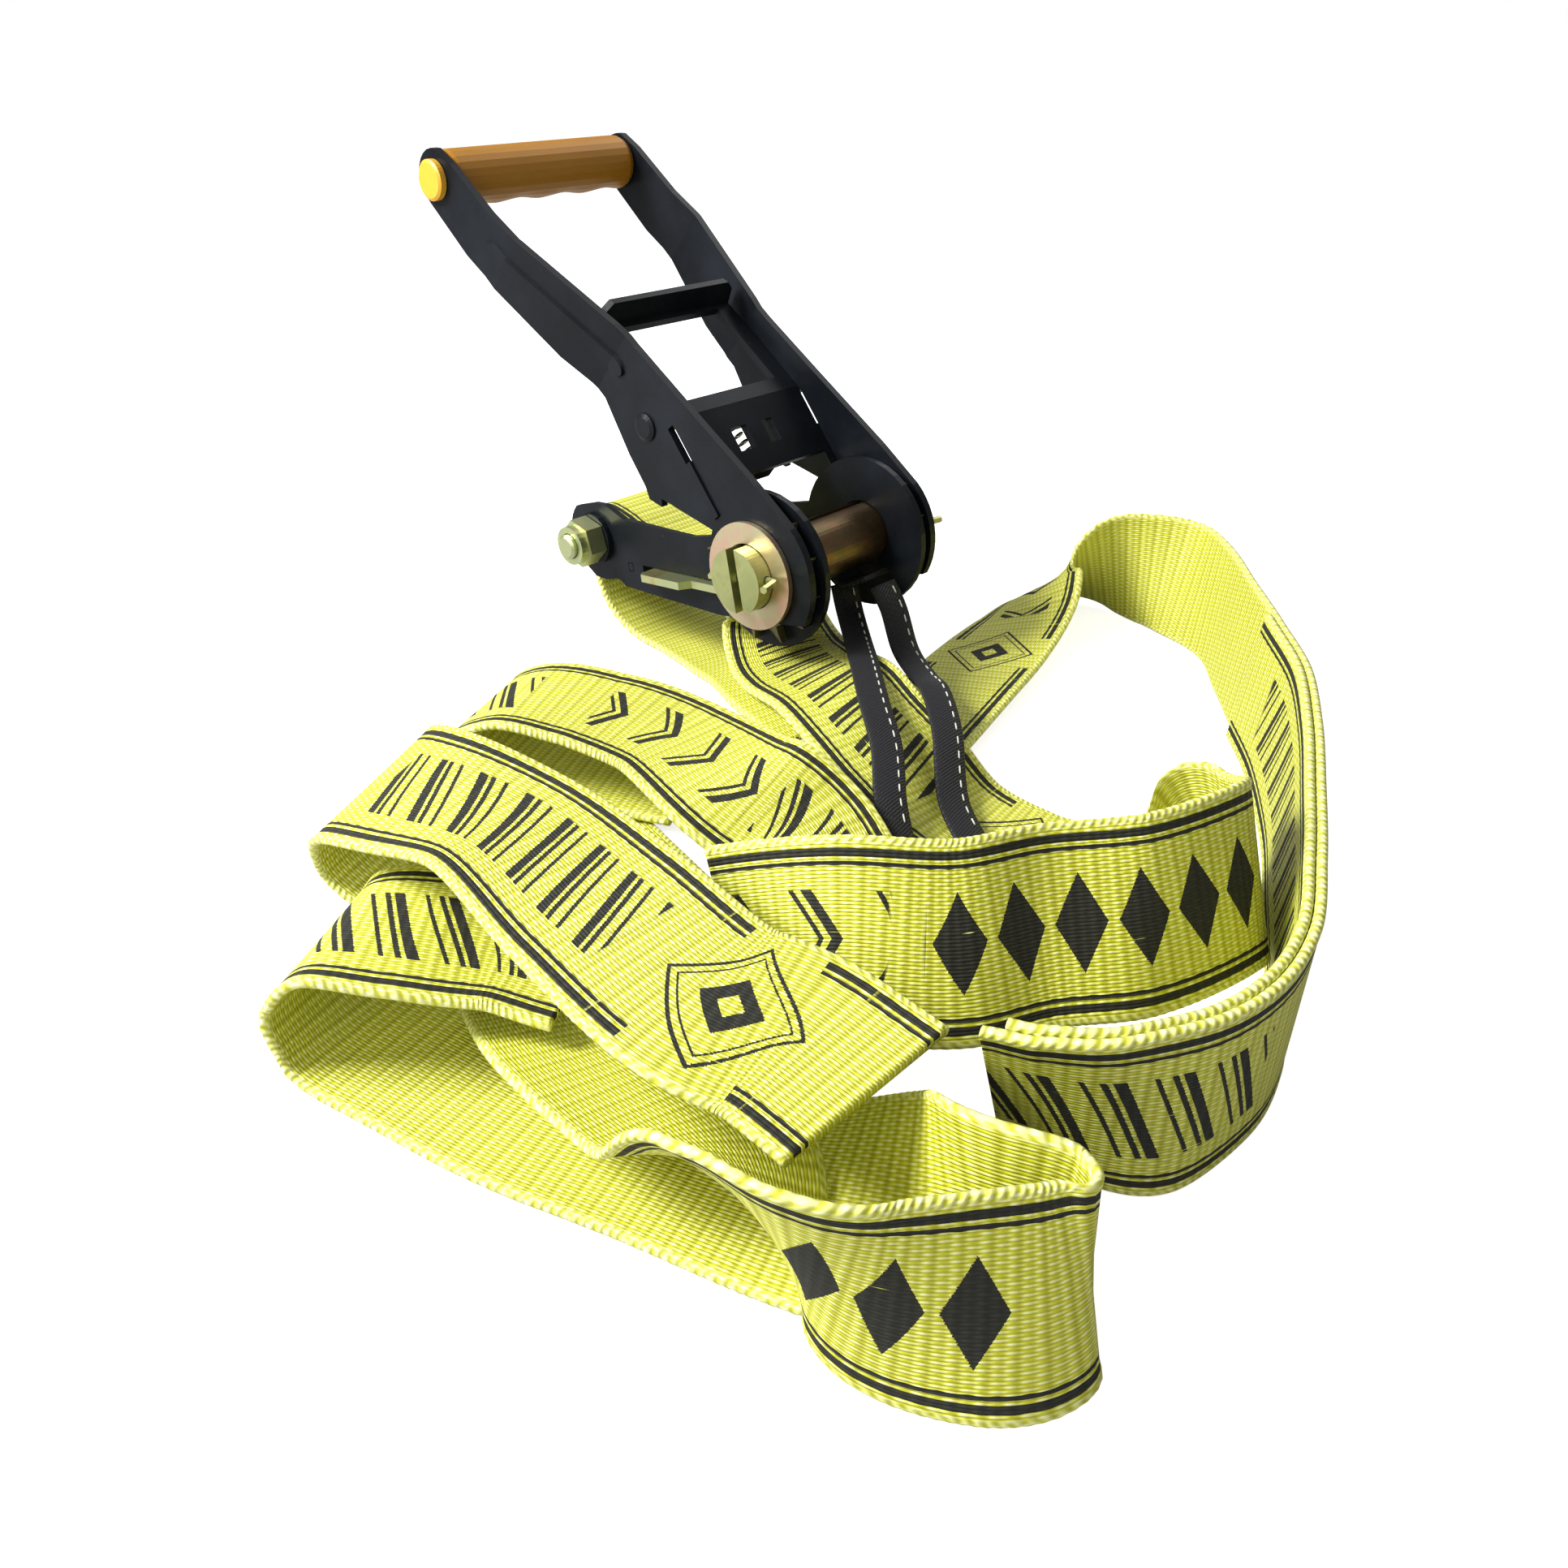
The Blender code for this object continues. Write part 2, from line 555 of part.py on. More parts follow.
# washers and split pins
def pin_points(side):
    # straight shank through both halves, its tail bent outwards along the drum
    reach = PIN_HALF_LENGTH
    bend = [(0, -reach, 0), (0, reach - PIN_WIRE * 3, 0)]
    for turn in np.radians(np.linspace(0, 70, 5)):
        bend.append((0, reach - PIN_WIRE * 3 + PIN_WIRE * 3 * math.sin(turn),
                     PIN_WIRE * 3 * (1 - math.cos(turn))))
    last = bend[-1]
    bend.append((0, last[1] + PIN_TAIL * math.cos(math.radians(70)), last[2] + PIN_TAIL * math.sin(math.radians(70))))
    return [(x, y, side * (PIN_PLACE + z)) for x, y, z in bend]


for side_name, side in SIDES:
    low, high = sorted((side * WASHER_INNER, side * WASHER_OUTER))
    finish("drum_washer_" + side_name, ring_mesh(DRUM_BORE, WASHER_RADIUS, low, high, CIRCLE_STEPS),
           "zinc_pink", drum_axis, True)
    finish("split_pin_" + side_name, tube_mesh(pin_points(side), PIN_WIRE, 1), "zinc_yellow", drum_axis, True)


# tail frame
# outline of one side plate: shares of its reach along, and of its nose radius across
FRAME_EDGE_SHARES = ((1.057, 0.486), (0.985, 0.484), (0.914, 0.482), (0.86, 0.40), (0.804, 0.318), (0.55, 0.272),
                     (0.40, 0.250))
FRAME_UNDER_SHARES = ((0.292, -0.757), (0.62, -0.70), (0.845, -0.655), (0.868, -0.60), (0.893, -0.568), (0.97, -0.62),
                      (1.04, -0.60))
TAIL_BOLT_U = FRAME_REACH
TAIL_BOLT_V = -TAIL_BOLT_SINK


def frame_outline():
    upper = [(u * FRAME_REACH, v * FRAME_NOSE) for u, v in FRAME_EDGE_SHARES]
    under = [(u * FRAME_REACH, v * FRAME_NOSE) for u, v in FRAME_UNDER_SHARES]
    tail = arc((TAIL_BOLT_U, TAIL_BOLT_V), TAIL_ROUND, -52, 50, 11)
    nose = arc((0, 0), FRAME_NOSE, 18, 312, 31)
    return tail + upper[1:] + nose + under


LOCK_MIDDLE = -LOCK_DROP
LOCK_SLOT_HALF = LOCK_PLATE / 2 + SLIDE_GAP
LOCK_SLOT_START = LOCK_TAB_START - SLIDE_GAP
LOCK_SLOT_END = LOCK_TAB_END + LOCK_TRAVEL + SLIDE_GAP * 2


def square_slot(start, end, middle, half):
    return [(start, middle - half), (end, middle - half), (end, middle + half), (start, middle + half)]


CROSSBAR_SLOT = CROSSBAR_THICKNESS / 2 + SEAT_GAP
CROSSBAR_TENON = CROSSBAR_HEIGHT / 3


def tenon_hole(at, middle, half_long, half_high):
    return [(at - half_long, middle - half_high), (at + half_long, middle - half_high),
            (at + half_long, middle + half_high), (at - half_long, middle + half_high)]


for side_name, side in SIDES:
    loops = [frame_outline(), circle((0, 0), DRUM_BORE + RUN_GAP),
             circle((TAIL_BOLT_U, TAIL_BOLT_V), BOLT_RADIUS + SEAT_GAP, SMALL_STEPS),
             square_slot(LOCK_SLOT_START, LOCK_SLOT_END, LOCK_MIDDLE, LOCK_SLOT_HALF),
             tenon_hole(CROSSBAR_AT, LOCK_MIDDLE, CROSSBAR_SLOT, CROSSBAR_TENON / 2 + SEAT_GAP)]
    finish("frame_plate_" + side_name,
           outline_mesh(loops, FRAME_PLATE, side * (FRAME_INNER + FRAME_OUTER) / 2),
           "black_steel", tail_axis)

# cross bar between the side plates: a wide middle with a tenon at each end
BAR_HALF = FRAME_INNER - SEAT_GAP
TENON_HALF = FRAME_OUTER
bar_outline = []
for turn in (1, -1):
    corner = [(BAR_HALF * turn, -CROSSBAR_HEIGHT / 2 * turn), (BAR_HALF * turn, -CROSSBAR_TENON / 2 * turn),
              (TENON_HALF * turn, -CROSSBAR_TENON / 2 * turn), (TENON_HALF * turn, CROSSBAR_TENON / 2 * turn),
              (BAR_HALF * turn, CROSSBAR_TENON / 2 * turn), (BAR_HALF * turn, CROSSBAR_HEIGHT / 2 * turn)]
    bar_outline += corner
bar_mesh = outline_mesh([bar_outline], CROSSBAR_THICKNESS, 0)
# outline X becomes across the frame, outline Y its height
bar_mesh.transform(Matrix(((0, 0, 1, CROSSBAR_AT), (0, 1, 0, LOCK_MIDDLE), (-1, 0, 0, 0), (0, 0, 0, 1))))
finish("frame_crossbar", bar_mesh, "black_steel", tail_axis)


# plates that lie across: outline in (along, across), folded along a path
def folded_mesh(loops, thickness, path):
    # path: corner points in the ratchet's side view; the flat outline follows it from corner to corner
    mesh = outline_mesh(loops, thickness, 0)
    lengths = [0]
    for first, second in zip(path, path[1:]):
        lengths.append(lengths[-1] + math.dist(first, second))
    work = bmesh.new()
    work.from_mesh(mesh)
    for place in lengths[1:-1]:
        bmesh.ops.bisect_plane(work, geom=work.verts[:] + work.edges[:] + work.faces[:],
                               plane_co=(place, 0, 0), plane_no=(1, 0, 0), dist=WELD_DISTANCE)
    bmesh.ops.triangulate(work, faces=work.faces)
    slopes = [math.atan2(b[1] - a[1], b[0] - a[0]) for a, b in zip(path, path[1:])]
    for vert in work.verts:
        along, across, height = vert.co
        leg = 0
        while leg < len(slopes) - 1 and along > lengths[leg + 1] + WELD_DISTANCE:
            leg += 1
        slope = slopes[leg]
        rest = along - lengths[leg]
        s = path[leg][0] + rest * math.cos(slope)
        t = path[leg][1] + rest * math.sin(slope)
        lean = slope
        stretch = 1
        if leg < len(slopes) - 1 and abs(along - lengths[leg + 1]) < WELD_DISTANCE * 2:
            lean = (slope + slopes[leg + 1]) / 2
            stretch = 1 / math.cos((slopes[leg + 1] - slope) / 2)
        vert.co = (s - height * stretch * math.sin(lean), t + height * stretch * math.cos(lean), across)
    return close_up(work, mesh)


def both_sides(points):
    # half outline given from the middle outwards; the other half mirrored
    return points + [(along, -across) for along, across in reversed(points) if across > 0]


# lock pawl: straight plate through the slots of both side plates
FINGER_INNER = FRAME_OUTER + RUN_GAP
FINGER_OUTER = WHEEL_OUTER + RUN_GAP / 3
LOCK_BODY = FRAME_INNER - SLIDE_GAP
LOCK_TAB_OUT = HANDLE_OUTER + LOCK_TAB_PROUD / 4
LOCK_END = LOCK_TAB_END
lock_half = [(LOCK_TAB_START + LOCK_PLATE, 0.0), (LOCK_TAB_START + LOCK_PLATE, FINGER_INNER),
             (LOCK_TIP + LOCK_PLATE / 4, FINGER_INNER), (LOCK_TIP, FINGER_OUTER),
             (LOCK_TAB_START + LOCK_PLATE, FINGER_OUTER), (LOCK_TAB_START + LOCK_PLATE * 2, LOCK_TAB_OUT),
             (LOCK_END - LOCK_PLATE / 2, LOCK_TAB_OUT), (LOCK_END, LOCK_TAB_OUT - LOCK_PLATE / 2)]
lock_path = [(0, LOCK_MIDDLE), (LOCK_END, LOCK_MIDDLE)]
lock_axis = bpy.data.objects.new("lock_pawl_axis", None)
parts.objects.link(lock_axis)
lock_axis.parent = tail_axis
finish("lock_pawl", folded_mesh([both_sides(lock_half)], LOCK_PLATE, lock_path), "zinc_yellow", lock_axis)


# coil springs
def coil_points(start, end, middle, turns):
    steps = turns * 10
    points = []
    for step in range(steps + 1):
        turn = step / 10 * 2 * math.pi
        along = start + (end - start) * step / steps
        points.append((along, middle + SPRING_RADIUS * math.cos(turn), SPRING_RADIUS * math.sin(turn)))
    return points


LOCK_SPRING_START = LOCK_END + SEAT_GAP + SPRING_WIRE
LOCK_SPRING_END = CROSSBAR_AT - CROSSBAR_THICKNESS / 2 - SEAT_GAP - SPRING_WIRE
finish("lock_spring", tube_mesh(coil_points(LOCK_SPRING_START, LOCK_SPRING_END, LOCK_MIDDLE, LOCK_SPRING_TURNS),
                                SPRING_WIRE, 1), "spring_steel", lock_axis, True)

# tail bolt
bolt_axis = bpy.data.objects.new("tail_bolt_axis", None)
parts.objects.link(bolt_axis)
bolt_axis.parent = tail_axis
bolt_axis.location = (TAIL_BOLT_U, TAIL_BOLT_V, 0)
NEAR_FACE = -FRAME_OUTER
WASHER_NEAR = NEAR_FACE - SEAT_GAP
NUT_NEAR = WASHER_NEAR - TAIL_WASHER_THICKNESS - SEAT_GAP
BOLT_NEAR_END = NEAR_FACE - BOLT_END_PROUD
HEAD_START = FRAME_OUTER + SEAT_GAP
HEX_RADIUS = NUT_ACROSS_FLATS / 2 / math.cos(math.radians(30))


def hexagon(turn_deg):
    return arc((0, 0), HEX_RADIUS, turn_deg, turn_deg + 300, 6)


bolt = finish("tail_bolt", turned_mesh([(0, HEAD_START + CUT_OVERRUN), (BOLT_RADIUS, HEAD_START + CUT_OVERRUN),
                                        (BOLT_RADIUS, BOLT_NEAR_END + BOLT_RADIUS / 5),
                                        (BOLT_RADIUS * 4 / 5, BOLT_NEAR_END), (0, BOLT_NEAR_END)]),
              "zinc_yellow", bolt_axis, True)
head = outline_mesh([hexagon(8)], BOLT_HEAD_HEIGHT, HEAD_START + BOLT_HEAD_HEIGHT / 2)
add_cut(bolt, "bolt_head_shape", head, bolt_axis, "UNION")
finish("tail_washer", ring_mesh(BOLT_RADIUS + SEAT_GAP, TAIL_WASHER_RADIUS, WASHER_NEAR - TAIL_WASHER_THICKNESS,
                                WASHER_NEAR), "black_steel", bolt_axis, True)
nut = finish("tail_nut", outline_mesh([hexagon(20), circle((0, 0), BOLT_RADIUS + SEAT_GAP, SMALL_STEPS)], NUT_HEIGHT,
                                      NUT_NEAR - NUT_HEIGHT / 2), "zinc_yellow", bolt_axis)
collar = ring_mesh(BOLT_RADIUS + SEAT_GAP, NUT_COLLAR_RADIUS, NUT_NEAR - NUT_HEIGHT - NUT_COLLAR_HEIGHT,
                   NUT_NEAR - NUT_HEIGHT / 2)
add_cut(nut, "nut_collar_shape", collar, bolt_axis, "UNION")
finish("tail_sleeve", ring_mesh(BOLT_RADIUS + SEAT_GAP, SLEEVE_RADIUS, -FRAME_INNER + SEAT_GAP,
                                FRAME_INNER - SEAT_GAP), "black_steel", bolt_axis, True)

# handle plates
# edge points: shares of the handle's length along, and of its nose radius across
HANDLE_UPPER_SHARES = ((1.0, 0.283), (0.965, 0.33), (0.835, 0.375), (0.745, 0.474), (0.512, 0.668), (0.456, 0.689),
                       (0.304, 0.799), (0.097, 0.958))
HANDLE_LOWER_SHARES = ((0.111, -0.09), (0.242, -0.555), (0.2325, -0.647), (0.2637, -0.753), (0.2854, -0.675),
                       (0.3518, -0.562), (0.4595, -0.297), (0.4972, -0.304), (0.5773, -0.392), (0.7876, -0.385),
                       (0.847, -0.438), (0.98, -0.42))
SPLAY_START_SHARE = 0.483
SPLAY_END_SHARE = 0.755
RIB_START_SHARE = (0.79, 0.02)
RIB_END_SHARE = (0.47, 0.23)
HEEL_CENTRE_SHARE = (0.0, -0.02)


def handle_outline():
    upper = [(u * HANDLE_LENGTH, v * HANDLE_NOSE) for u, v in HANDLE_UPPER_SHARES]
    lower = [(u * HANDLE_LENGTH, v * HANDLE_NOSE) for u, v in HANDLE_LOWER_SHARES]
    nose = arc((0, 0), HANDLE_NOSE, 92, 168, 12)
    heel = arc((0, 0), HANDLE_HEEL, 215, 345, 14)
    tip = arc((GRIP_AXIS_S, GRIP_AXIS_T), HANDLE_NOSE * HANDLE_TIP_SHARE, -60, 60, 9)
    return tip + upper[1:] + nose + heel + lower


HANDLE_TIP_SHARE = 0.385
DRIVE_SLOPE = math.radians(PAWL_SLOPE_DEG)


def on_pawl_line(along):
    return (PAWL_TIP_S + along * math.cos(DRIVE_SLOPE), PAWL_TIP_T + along * math.sin(DRIVE_SLOPE))


def slanted_slot(start, end, half):
    first, last = on_pawl_line(start), on_pawl_line(end)
    lean = (-math.sin(DRIVE_SLOPE) * half, math.cos(DRIVE_SLOPE) * half)
    return [(first[0] - lean[0], first[1] - lean[1]), (last[0] - lean[0], last[1] - lean[1]),
            (last[0] + lean[0], last[1] + lean[1]), (first[0] + lean[0], first[1] + lean[1])]


DRIVE_SLOT_HALF = PAWL_PLATE / 2 + SLIDE_GAP
PAWL_TAB_SETBACK = PAWL_PLATE / 4
SPLAY_START = SPLAY_START_SHARE * HANDLE_LENGTH
SPLAY_END = SPLAY_END_SHARE * HANDLE_LENGTH


def splayed(mesh):
    # the plate leans outwards between two bend lines across it
    work = bmesh.new()
    work.from_mesh(mesh)
    for place in (SPLAY_START, SPLAY_END):
        bmesh.ops.bisect_plane(work, geom=work.verts[:] + work.edges[:] + work.faces[:],
                               plane_co=(place, 0, 0), plane_no=(1, 0, 0), dist=WELD_DISTANCE)
    bmesh.ops.triangulate(work, faces=work.faces)
    for vert in work.verts:
        share = min(max((vert.co.x - SPLAY_START) / (SPLAY_END - SPLAY_START), 0), 1)
        vert.co.z += HANDLE_SPLAY * share
    return close_up(work, mesh)


def with_union(first, second):
    # two closed meshes joined into one by an exact Boolean
    base = bpy.data.objects.new("base", first)
    tool = bpy.data.objects.new("tool", second)
    for holder in (base, tool):
        bpy.context.scene.collection.objects.link(holder)
    step = base.modifiers.new("join", "BOOLEAN")
    step.operation = "UNION"
    step.solver = "EXACT"
    step.object = tool
    graph = bpy.context.evaluated_depsgraph_get()
    result = bpy.data.meshes.new_from_object(base.evaluated_get(graph))
    for holder in (base, tool):
        bpy.data.objects.remove(holder, do_unlink=True)
    return weld(result)


def mirrored_across(mesh):
    mesh.transform(Matrix.Scale(-1, 4, (0, 0, 1)))
    return weld(mesh)


def rib_mesh():
    start = (RIB_START_SHARE[0] * HANDLE_LENGTH, RIB_START_SHARE[1] * HANDLE_NOSE)
    end = (RIB_END_SHARE[0] * HANDLE_LENGTH, RIB_END_SHARE[1] * HANDLE_NOSE)
    high = outline_mesh([round_slot(start, end, RIB_WIDTH / 2)], RIB_HEIGHT * 2, HANDLE_OUTER)
    work = bmesh.new()
    work.from_mesh(high)
    # the rib's top is drawn in so that its sides slope
    middle = Vector(((start[0] + end[0]) / 2, (start[1] + end[1]) / 2, 0))
    line = (Vector((*start, 0)) - Vector((*end, 0))).normalized()
    for vert in work.verts:
        if vert.co.z > HANDLE_OUTER:
            flat = Vector((vert.co.x, vert.co.y, 0)) - middle
            side_part = flat - line * flat.dot(line)
            flat -= side_part * 0.4
            vert.co.x = middle.x + flat.x
            vert.co.y = middle.y + flat.y
    work.to_mesh(high)
    work.free()
    return high


for side_name, side in SIDES:
    loops = [handle_outline(), circle((0, 0), DRUM_BORE + RUN_GAP),
             slanted_slot(PAWL_TAB_SETBACK - SLIDE_GAP, PAWL_TAB_LENGTH + PAWL_TRAVEL + SLIDE_GAP * 2,
                          DRIVE_SLOT_HALF),
             circle((CROSS_ROD_S, 0), CROSS_ROD_RADIUS + SEAT_GAP, SMALL_STEPS),
             circle((GRIP_AXIS_S, GRIP_AXIS_T), GRIP_ROD_RADIUS + SEAT_GAP, SMALL_STEPS)]
    flat_plate = outline_mesh(loops, HANDLE_PLATE, (HANDLE_INNER + HANDLE_OUTER) / 2)
    plate = splayed(with_union(flat_plate, rib_mesh()))
    if side < 0:
        plate = mirrored_across(plate)
    finish("handle_plate_" + side_name, plate, "black_steel", handle_axis)

# cross rod with riveted ends
ROD_REACH = HANDLE_OUTER + SEAT_GAP
rod_profile = [(0, ROD_REACH + RIVET_HEAD_PROUD), (RIVET_HEAD_RADIUS * 0.7, ROD_REACH + RIVET_HEAD_PROUD),
               (RIVET_HEAD_RADIUS, ROD_REACH + RIVET_HEAD_PROUD / 3), (RIVET_HEAD_RADIUS, ROD_REACH),
               (CROSS_ROD_RADIUS, ROD_REACH)]
rod_profile += [(r, -z) for r, z in reversed(rod_profile)]
rod = turned_mesh(rod_profile)
rod.transform(Matrix.Translation((CROSS_ROD_S, 0, 0)))
finish("handle_cross_rod", rod, "black_steel", handle_axis, True)

# grip: a sleeve between the plates with finger hollows along its lower side
GRIP_HALF = HANDLE_INNER + HANDLE_SPLAY - SEAT_GAP
GRIP_RINGS = 40
GRIP_SIDES = 24


def grip_mesh():
    profile = [(GRIP_RADIUS, GRIP_HALF - 2 * GRIP_HALF * step / GRIP_RINGS) for step in range(GRIP_RINGS + 1)]
    bore = GRIP_ROD_RADIUS + SEAT_GAP
    profile = [(bore, GRIP_HALF)] + profile + [(bore, -GRIP_HALF), (bore, GRIP_HALF)]
    mesh = turned_mesh(profile, GRIP_SIDES)
    for vert in mesh.vertices:
        radius = math.hypot(vert.co.x, vert.co.y)
        if radius < (bore + GRIP_RADIUS) / 2:
            continue
        place = vert.co.z / GRIP_HALF
        wave = 0.5 - 0.5 * math.cos(math.pi * 2 * GRIP_FINGERS * (place + 1) / 2)
        low_side = max(0.0, -vert.co.y / radius)
        ends = max(0.0, abs(place) - 0.94) / 0.06
        scale = (radius - GRIP_GROOVE * wave * low_side - GRIP_GROOVE * 0.6 * ends ** 2) / radius
        vert.co.x *= scale
        vert.co.y *= scale
    mesh.transform(Matrix.Translation((GRIP_AXIS_S, GRIP_AXIS_T, 0)))
    return mesh


finish("grip_sleeve", grip_mesh(), "amber_grip", handle_axis, True)
PLATE_FAR_FACE = HANDLE_OUTER + HANDLE_SPLAY
grip_rod = turned_mesh([(0, PLATE_FAR_FACE), (GRIP_ROD_RADIUS, PLATE_FAR_FACE), (GRIP_ROD_RADIUS, -PLATE_FAR_FACE),
                        (0, -PLATE_FAR_FACE)])
grip_rod.transform(Matrix.Translation((GRIP_AXIS_S, GRIP_AXIS_T, 0)))
finish("grip_rod", grip_rod, "zinc_yellow", handle_axis, True)
for side_name, side in SIDES:
    base = PLATE_FAR_FACE + SEAT_GAP
    cap = turned_mesh([(0, base + CAP_PROUD), (CAP_RADIUS * 0.86, base + CAP_PROUD),
                       (CAP_RADIUS, base + CAP_PROUD * 0.75), (CAP_RADIUS, base), (0, base)], 32)
    cap.transform(Matrix.Translation((GRIP_AXIS_S, GRIP_AXIS_T, 0)))
    if side < 0:
        cap = mirrored_across(cap)
    finish("grip_cap_" + side_name, cap, "amber_grip", handle_axis, True)

# pull pawl
pawl_axis = bpy.data.objects.new("pull_pawl_axis", None)
parts.objects.link(pawl_axis)
pawl_axis.parent = handle_axis
PAWL_TAB_OUT = HANDLE_OUTER + PAWL_TAB_PROUD
PAWL_BODY = HANDLE_INNER - SLIDE_GAP
bend_point = on_pawl_line(PAWL_BEND)
ARM_RISE = -PAWL_PLATE
pawl_path = [on_pawl_line(0), bend_point, (bend_point[0] + PAWL_ARM, bend_point[1] + ARM_RISE),
             (bend_point[0] + PAWL_ARM + PAWL_PLATE, bend_point[1] + ARM_RISE + PAWL_LIP)]
pawl_total = sum(math.dist(a, b) for a, b in zip(pawl_path, pawl_path[1:]))
pawl_half = [(PAWL_THROAT, 0.0), (PAWL_THROAT, FINGER_INNER), (PAWL_PLATE / 4, FINGER_INNER), (0, FINGER_OUTER),
             (PAWL_TAB_SETBACK, FINGER_OUTER), (PAWL_TAB_SETBACK, PAWL_TAB_OUT), (PAWL_TAB_LENGTH, PAWL_TAB_OUT),
             (PAWL_TAB_LENGTH, PAWL_BODY), (pawl_total - PAWL_PLATE, PAWL_BODY),
             (pawl_total, PAWL_BODY - PAWL_PLATE)]
WINDOW_START = PAWL_BEND + PAWL_PLATE * 2
WINDOW_END = PAWL_BEND + math.dist(pawl_path[1], pawl_path[2]) - PAWL_PLATE
WINDOW_HALF = PAWL_BODY - PAWL_ARM_WIDTH


def across_hole(start, end, low, high):
    return [(start, low), (end, low), (end, high), (start, high)]


pawl_loops = [both_sides(pawl_half), across_hole(WINDOW_START, WINDOW_END, -WINDOW_HALF, WINDOW_HALF),
              across_hole(PAWL_LUG_AT + PAWL_PLATE * 2, PAWL_BEND - PAWL_PLATE * 3,
                          -PAWL_LUG_WIDTH, -PAWL_LUG_WIDTH / 4),
              across_hole(PAWL_LUG_AT + PAWL_PLATE * 2, PAWL_BEND - PAWL_PLATE * 3,
                          PAWL_LUG_WIDTH / 2, PAWL_LUG_WIDTH)]
pawl_flat = folded_mesh(pawl_loops, PAWL_PLATE, pawl_path)
lug_place = on_pawl_line(PAWL_LUG_AT)
lug = box_mesh((lug_place[0] - PAWL_PLATE / 2, lug_place[0] + PAWL_PLATE / 2),
               (lug_place[1] - PAWL_LUG_DROP, lug_place[1]), (-PAWL_LUG_WIDTH / 2, PAWL_LUG_WIDTH / 2))
finish("pull_pawl", with_union(pawl_flat, lug), "black_steel", pawl_axis)
PULL_SPRING_START = lug_place[0] + PAWL_PLATE / 2 + SEAT_GAP + SPRING_WIRE
PULL_SPRING_END = CROSS_ROD_S - CROSS_ROD_RADIUS - SEAT_GAP - SPRING_WIRE
PULL_SPRING_LEVEL = lug_place[1] - PAWL_LUG_DROP + SPRING_RADIUS
finish("pull_spring", tube_mesh(coil_points(PULL_SPRING_START, PULL_SPRING_END, PULL_SPRING_LEVEL, SPRING_TURNS),
                                SPRING_WIRE, 1), "spring_steel", pawl_axis, True)

# webbing
# routes: places of the strip's middle and the directions across it, both from the drum's centre,
# chosen by hand; a smooth curve is read through them


def smooth_route(route):
    places = np.array([place + across for place, across in route], dtype=float)
    knots = np.concatenate([[0], np.cumsum(np.sqrt(np.linalg.norm(np.diff(places[:, :3], axis=0), axis=1)))])
    first = places[0] * 2 - places[1]
    last = places[-1] * 2 - places[-2]
    points = np.vstack([first, places, last])
    times = np.concatenate([[-knots[1]], knots, [knots[-1] * 2 - knots[-2]]])
    result = []
    marks = []
    for leg in range(len(places) - 1):
        p0, p1, p2, p3 = points[leg:leg + 4]
        t0, t1, t2, t3 = times[leg:leg + 4]
        out = ((p1 - p0) / (t1 - t0) - (p2 - p0) / (t2 - t0) + (p2 - p1) / (t2 - t1)) * (t2 - t1)
        back = ((p2 - p1) / (t2 - t1) - (p3 - p1) / (t3 - t1) + (p3 - p2) / (t3 - t2)) * (t2 - t1)
        count = max(2, int(np.linalg.norm((p2 - p1)[:3]) / WEB_STEP) + 1)
        for u in np.arange(count) / count:
            result.append((2 * u**3 - 3 * u**2 + 1) * p1 + (u**3 - 2 * u**2 + u) * out
                          + (3 * u**2 - 2 * u**3) * p2 + (u**3 - u**2) * back)
            marks.append(leg + u)
    result.append(places[-1])
    marks.append(len(places) - 1)
    return np.array(result), np.array(marks)


def strip_frames(route, width, thickness, floor=True):
    points, marks = smooth_route(route)
    middle = points[:, :3] + np.array(DRUM_CENTRE)
    travel = np.gradient(middle, axis=0)
    travel /= np.linalg.norm(travel, axis=1)[:, None]
    across = points[:, 3:]
    across = across - (across * travel).sum(axis=1)[:, None] * travel
    across /= np.linalg.norm(across, axis=1)[:, None]
    normal = np.cross(travel, across)
    if floor:
        # where the strip lies or stands on the floor its lowest corner is just on it
        low = middle[:, 2] - np.abs(across[:, 2]) * width / 2 - np.abs(normal[:, 2]) * thickness / 2
        middle[:, 2] += np.maximum(0, -low)
    return middle, across, normal, marks


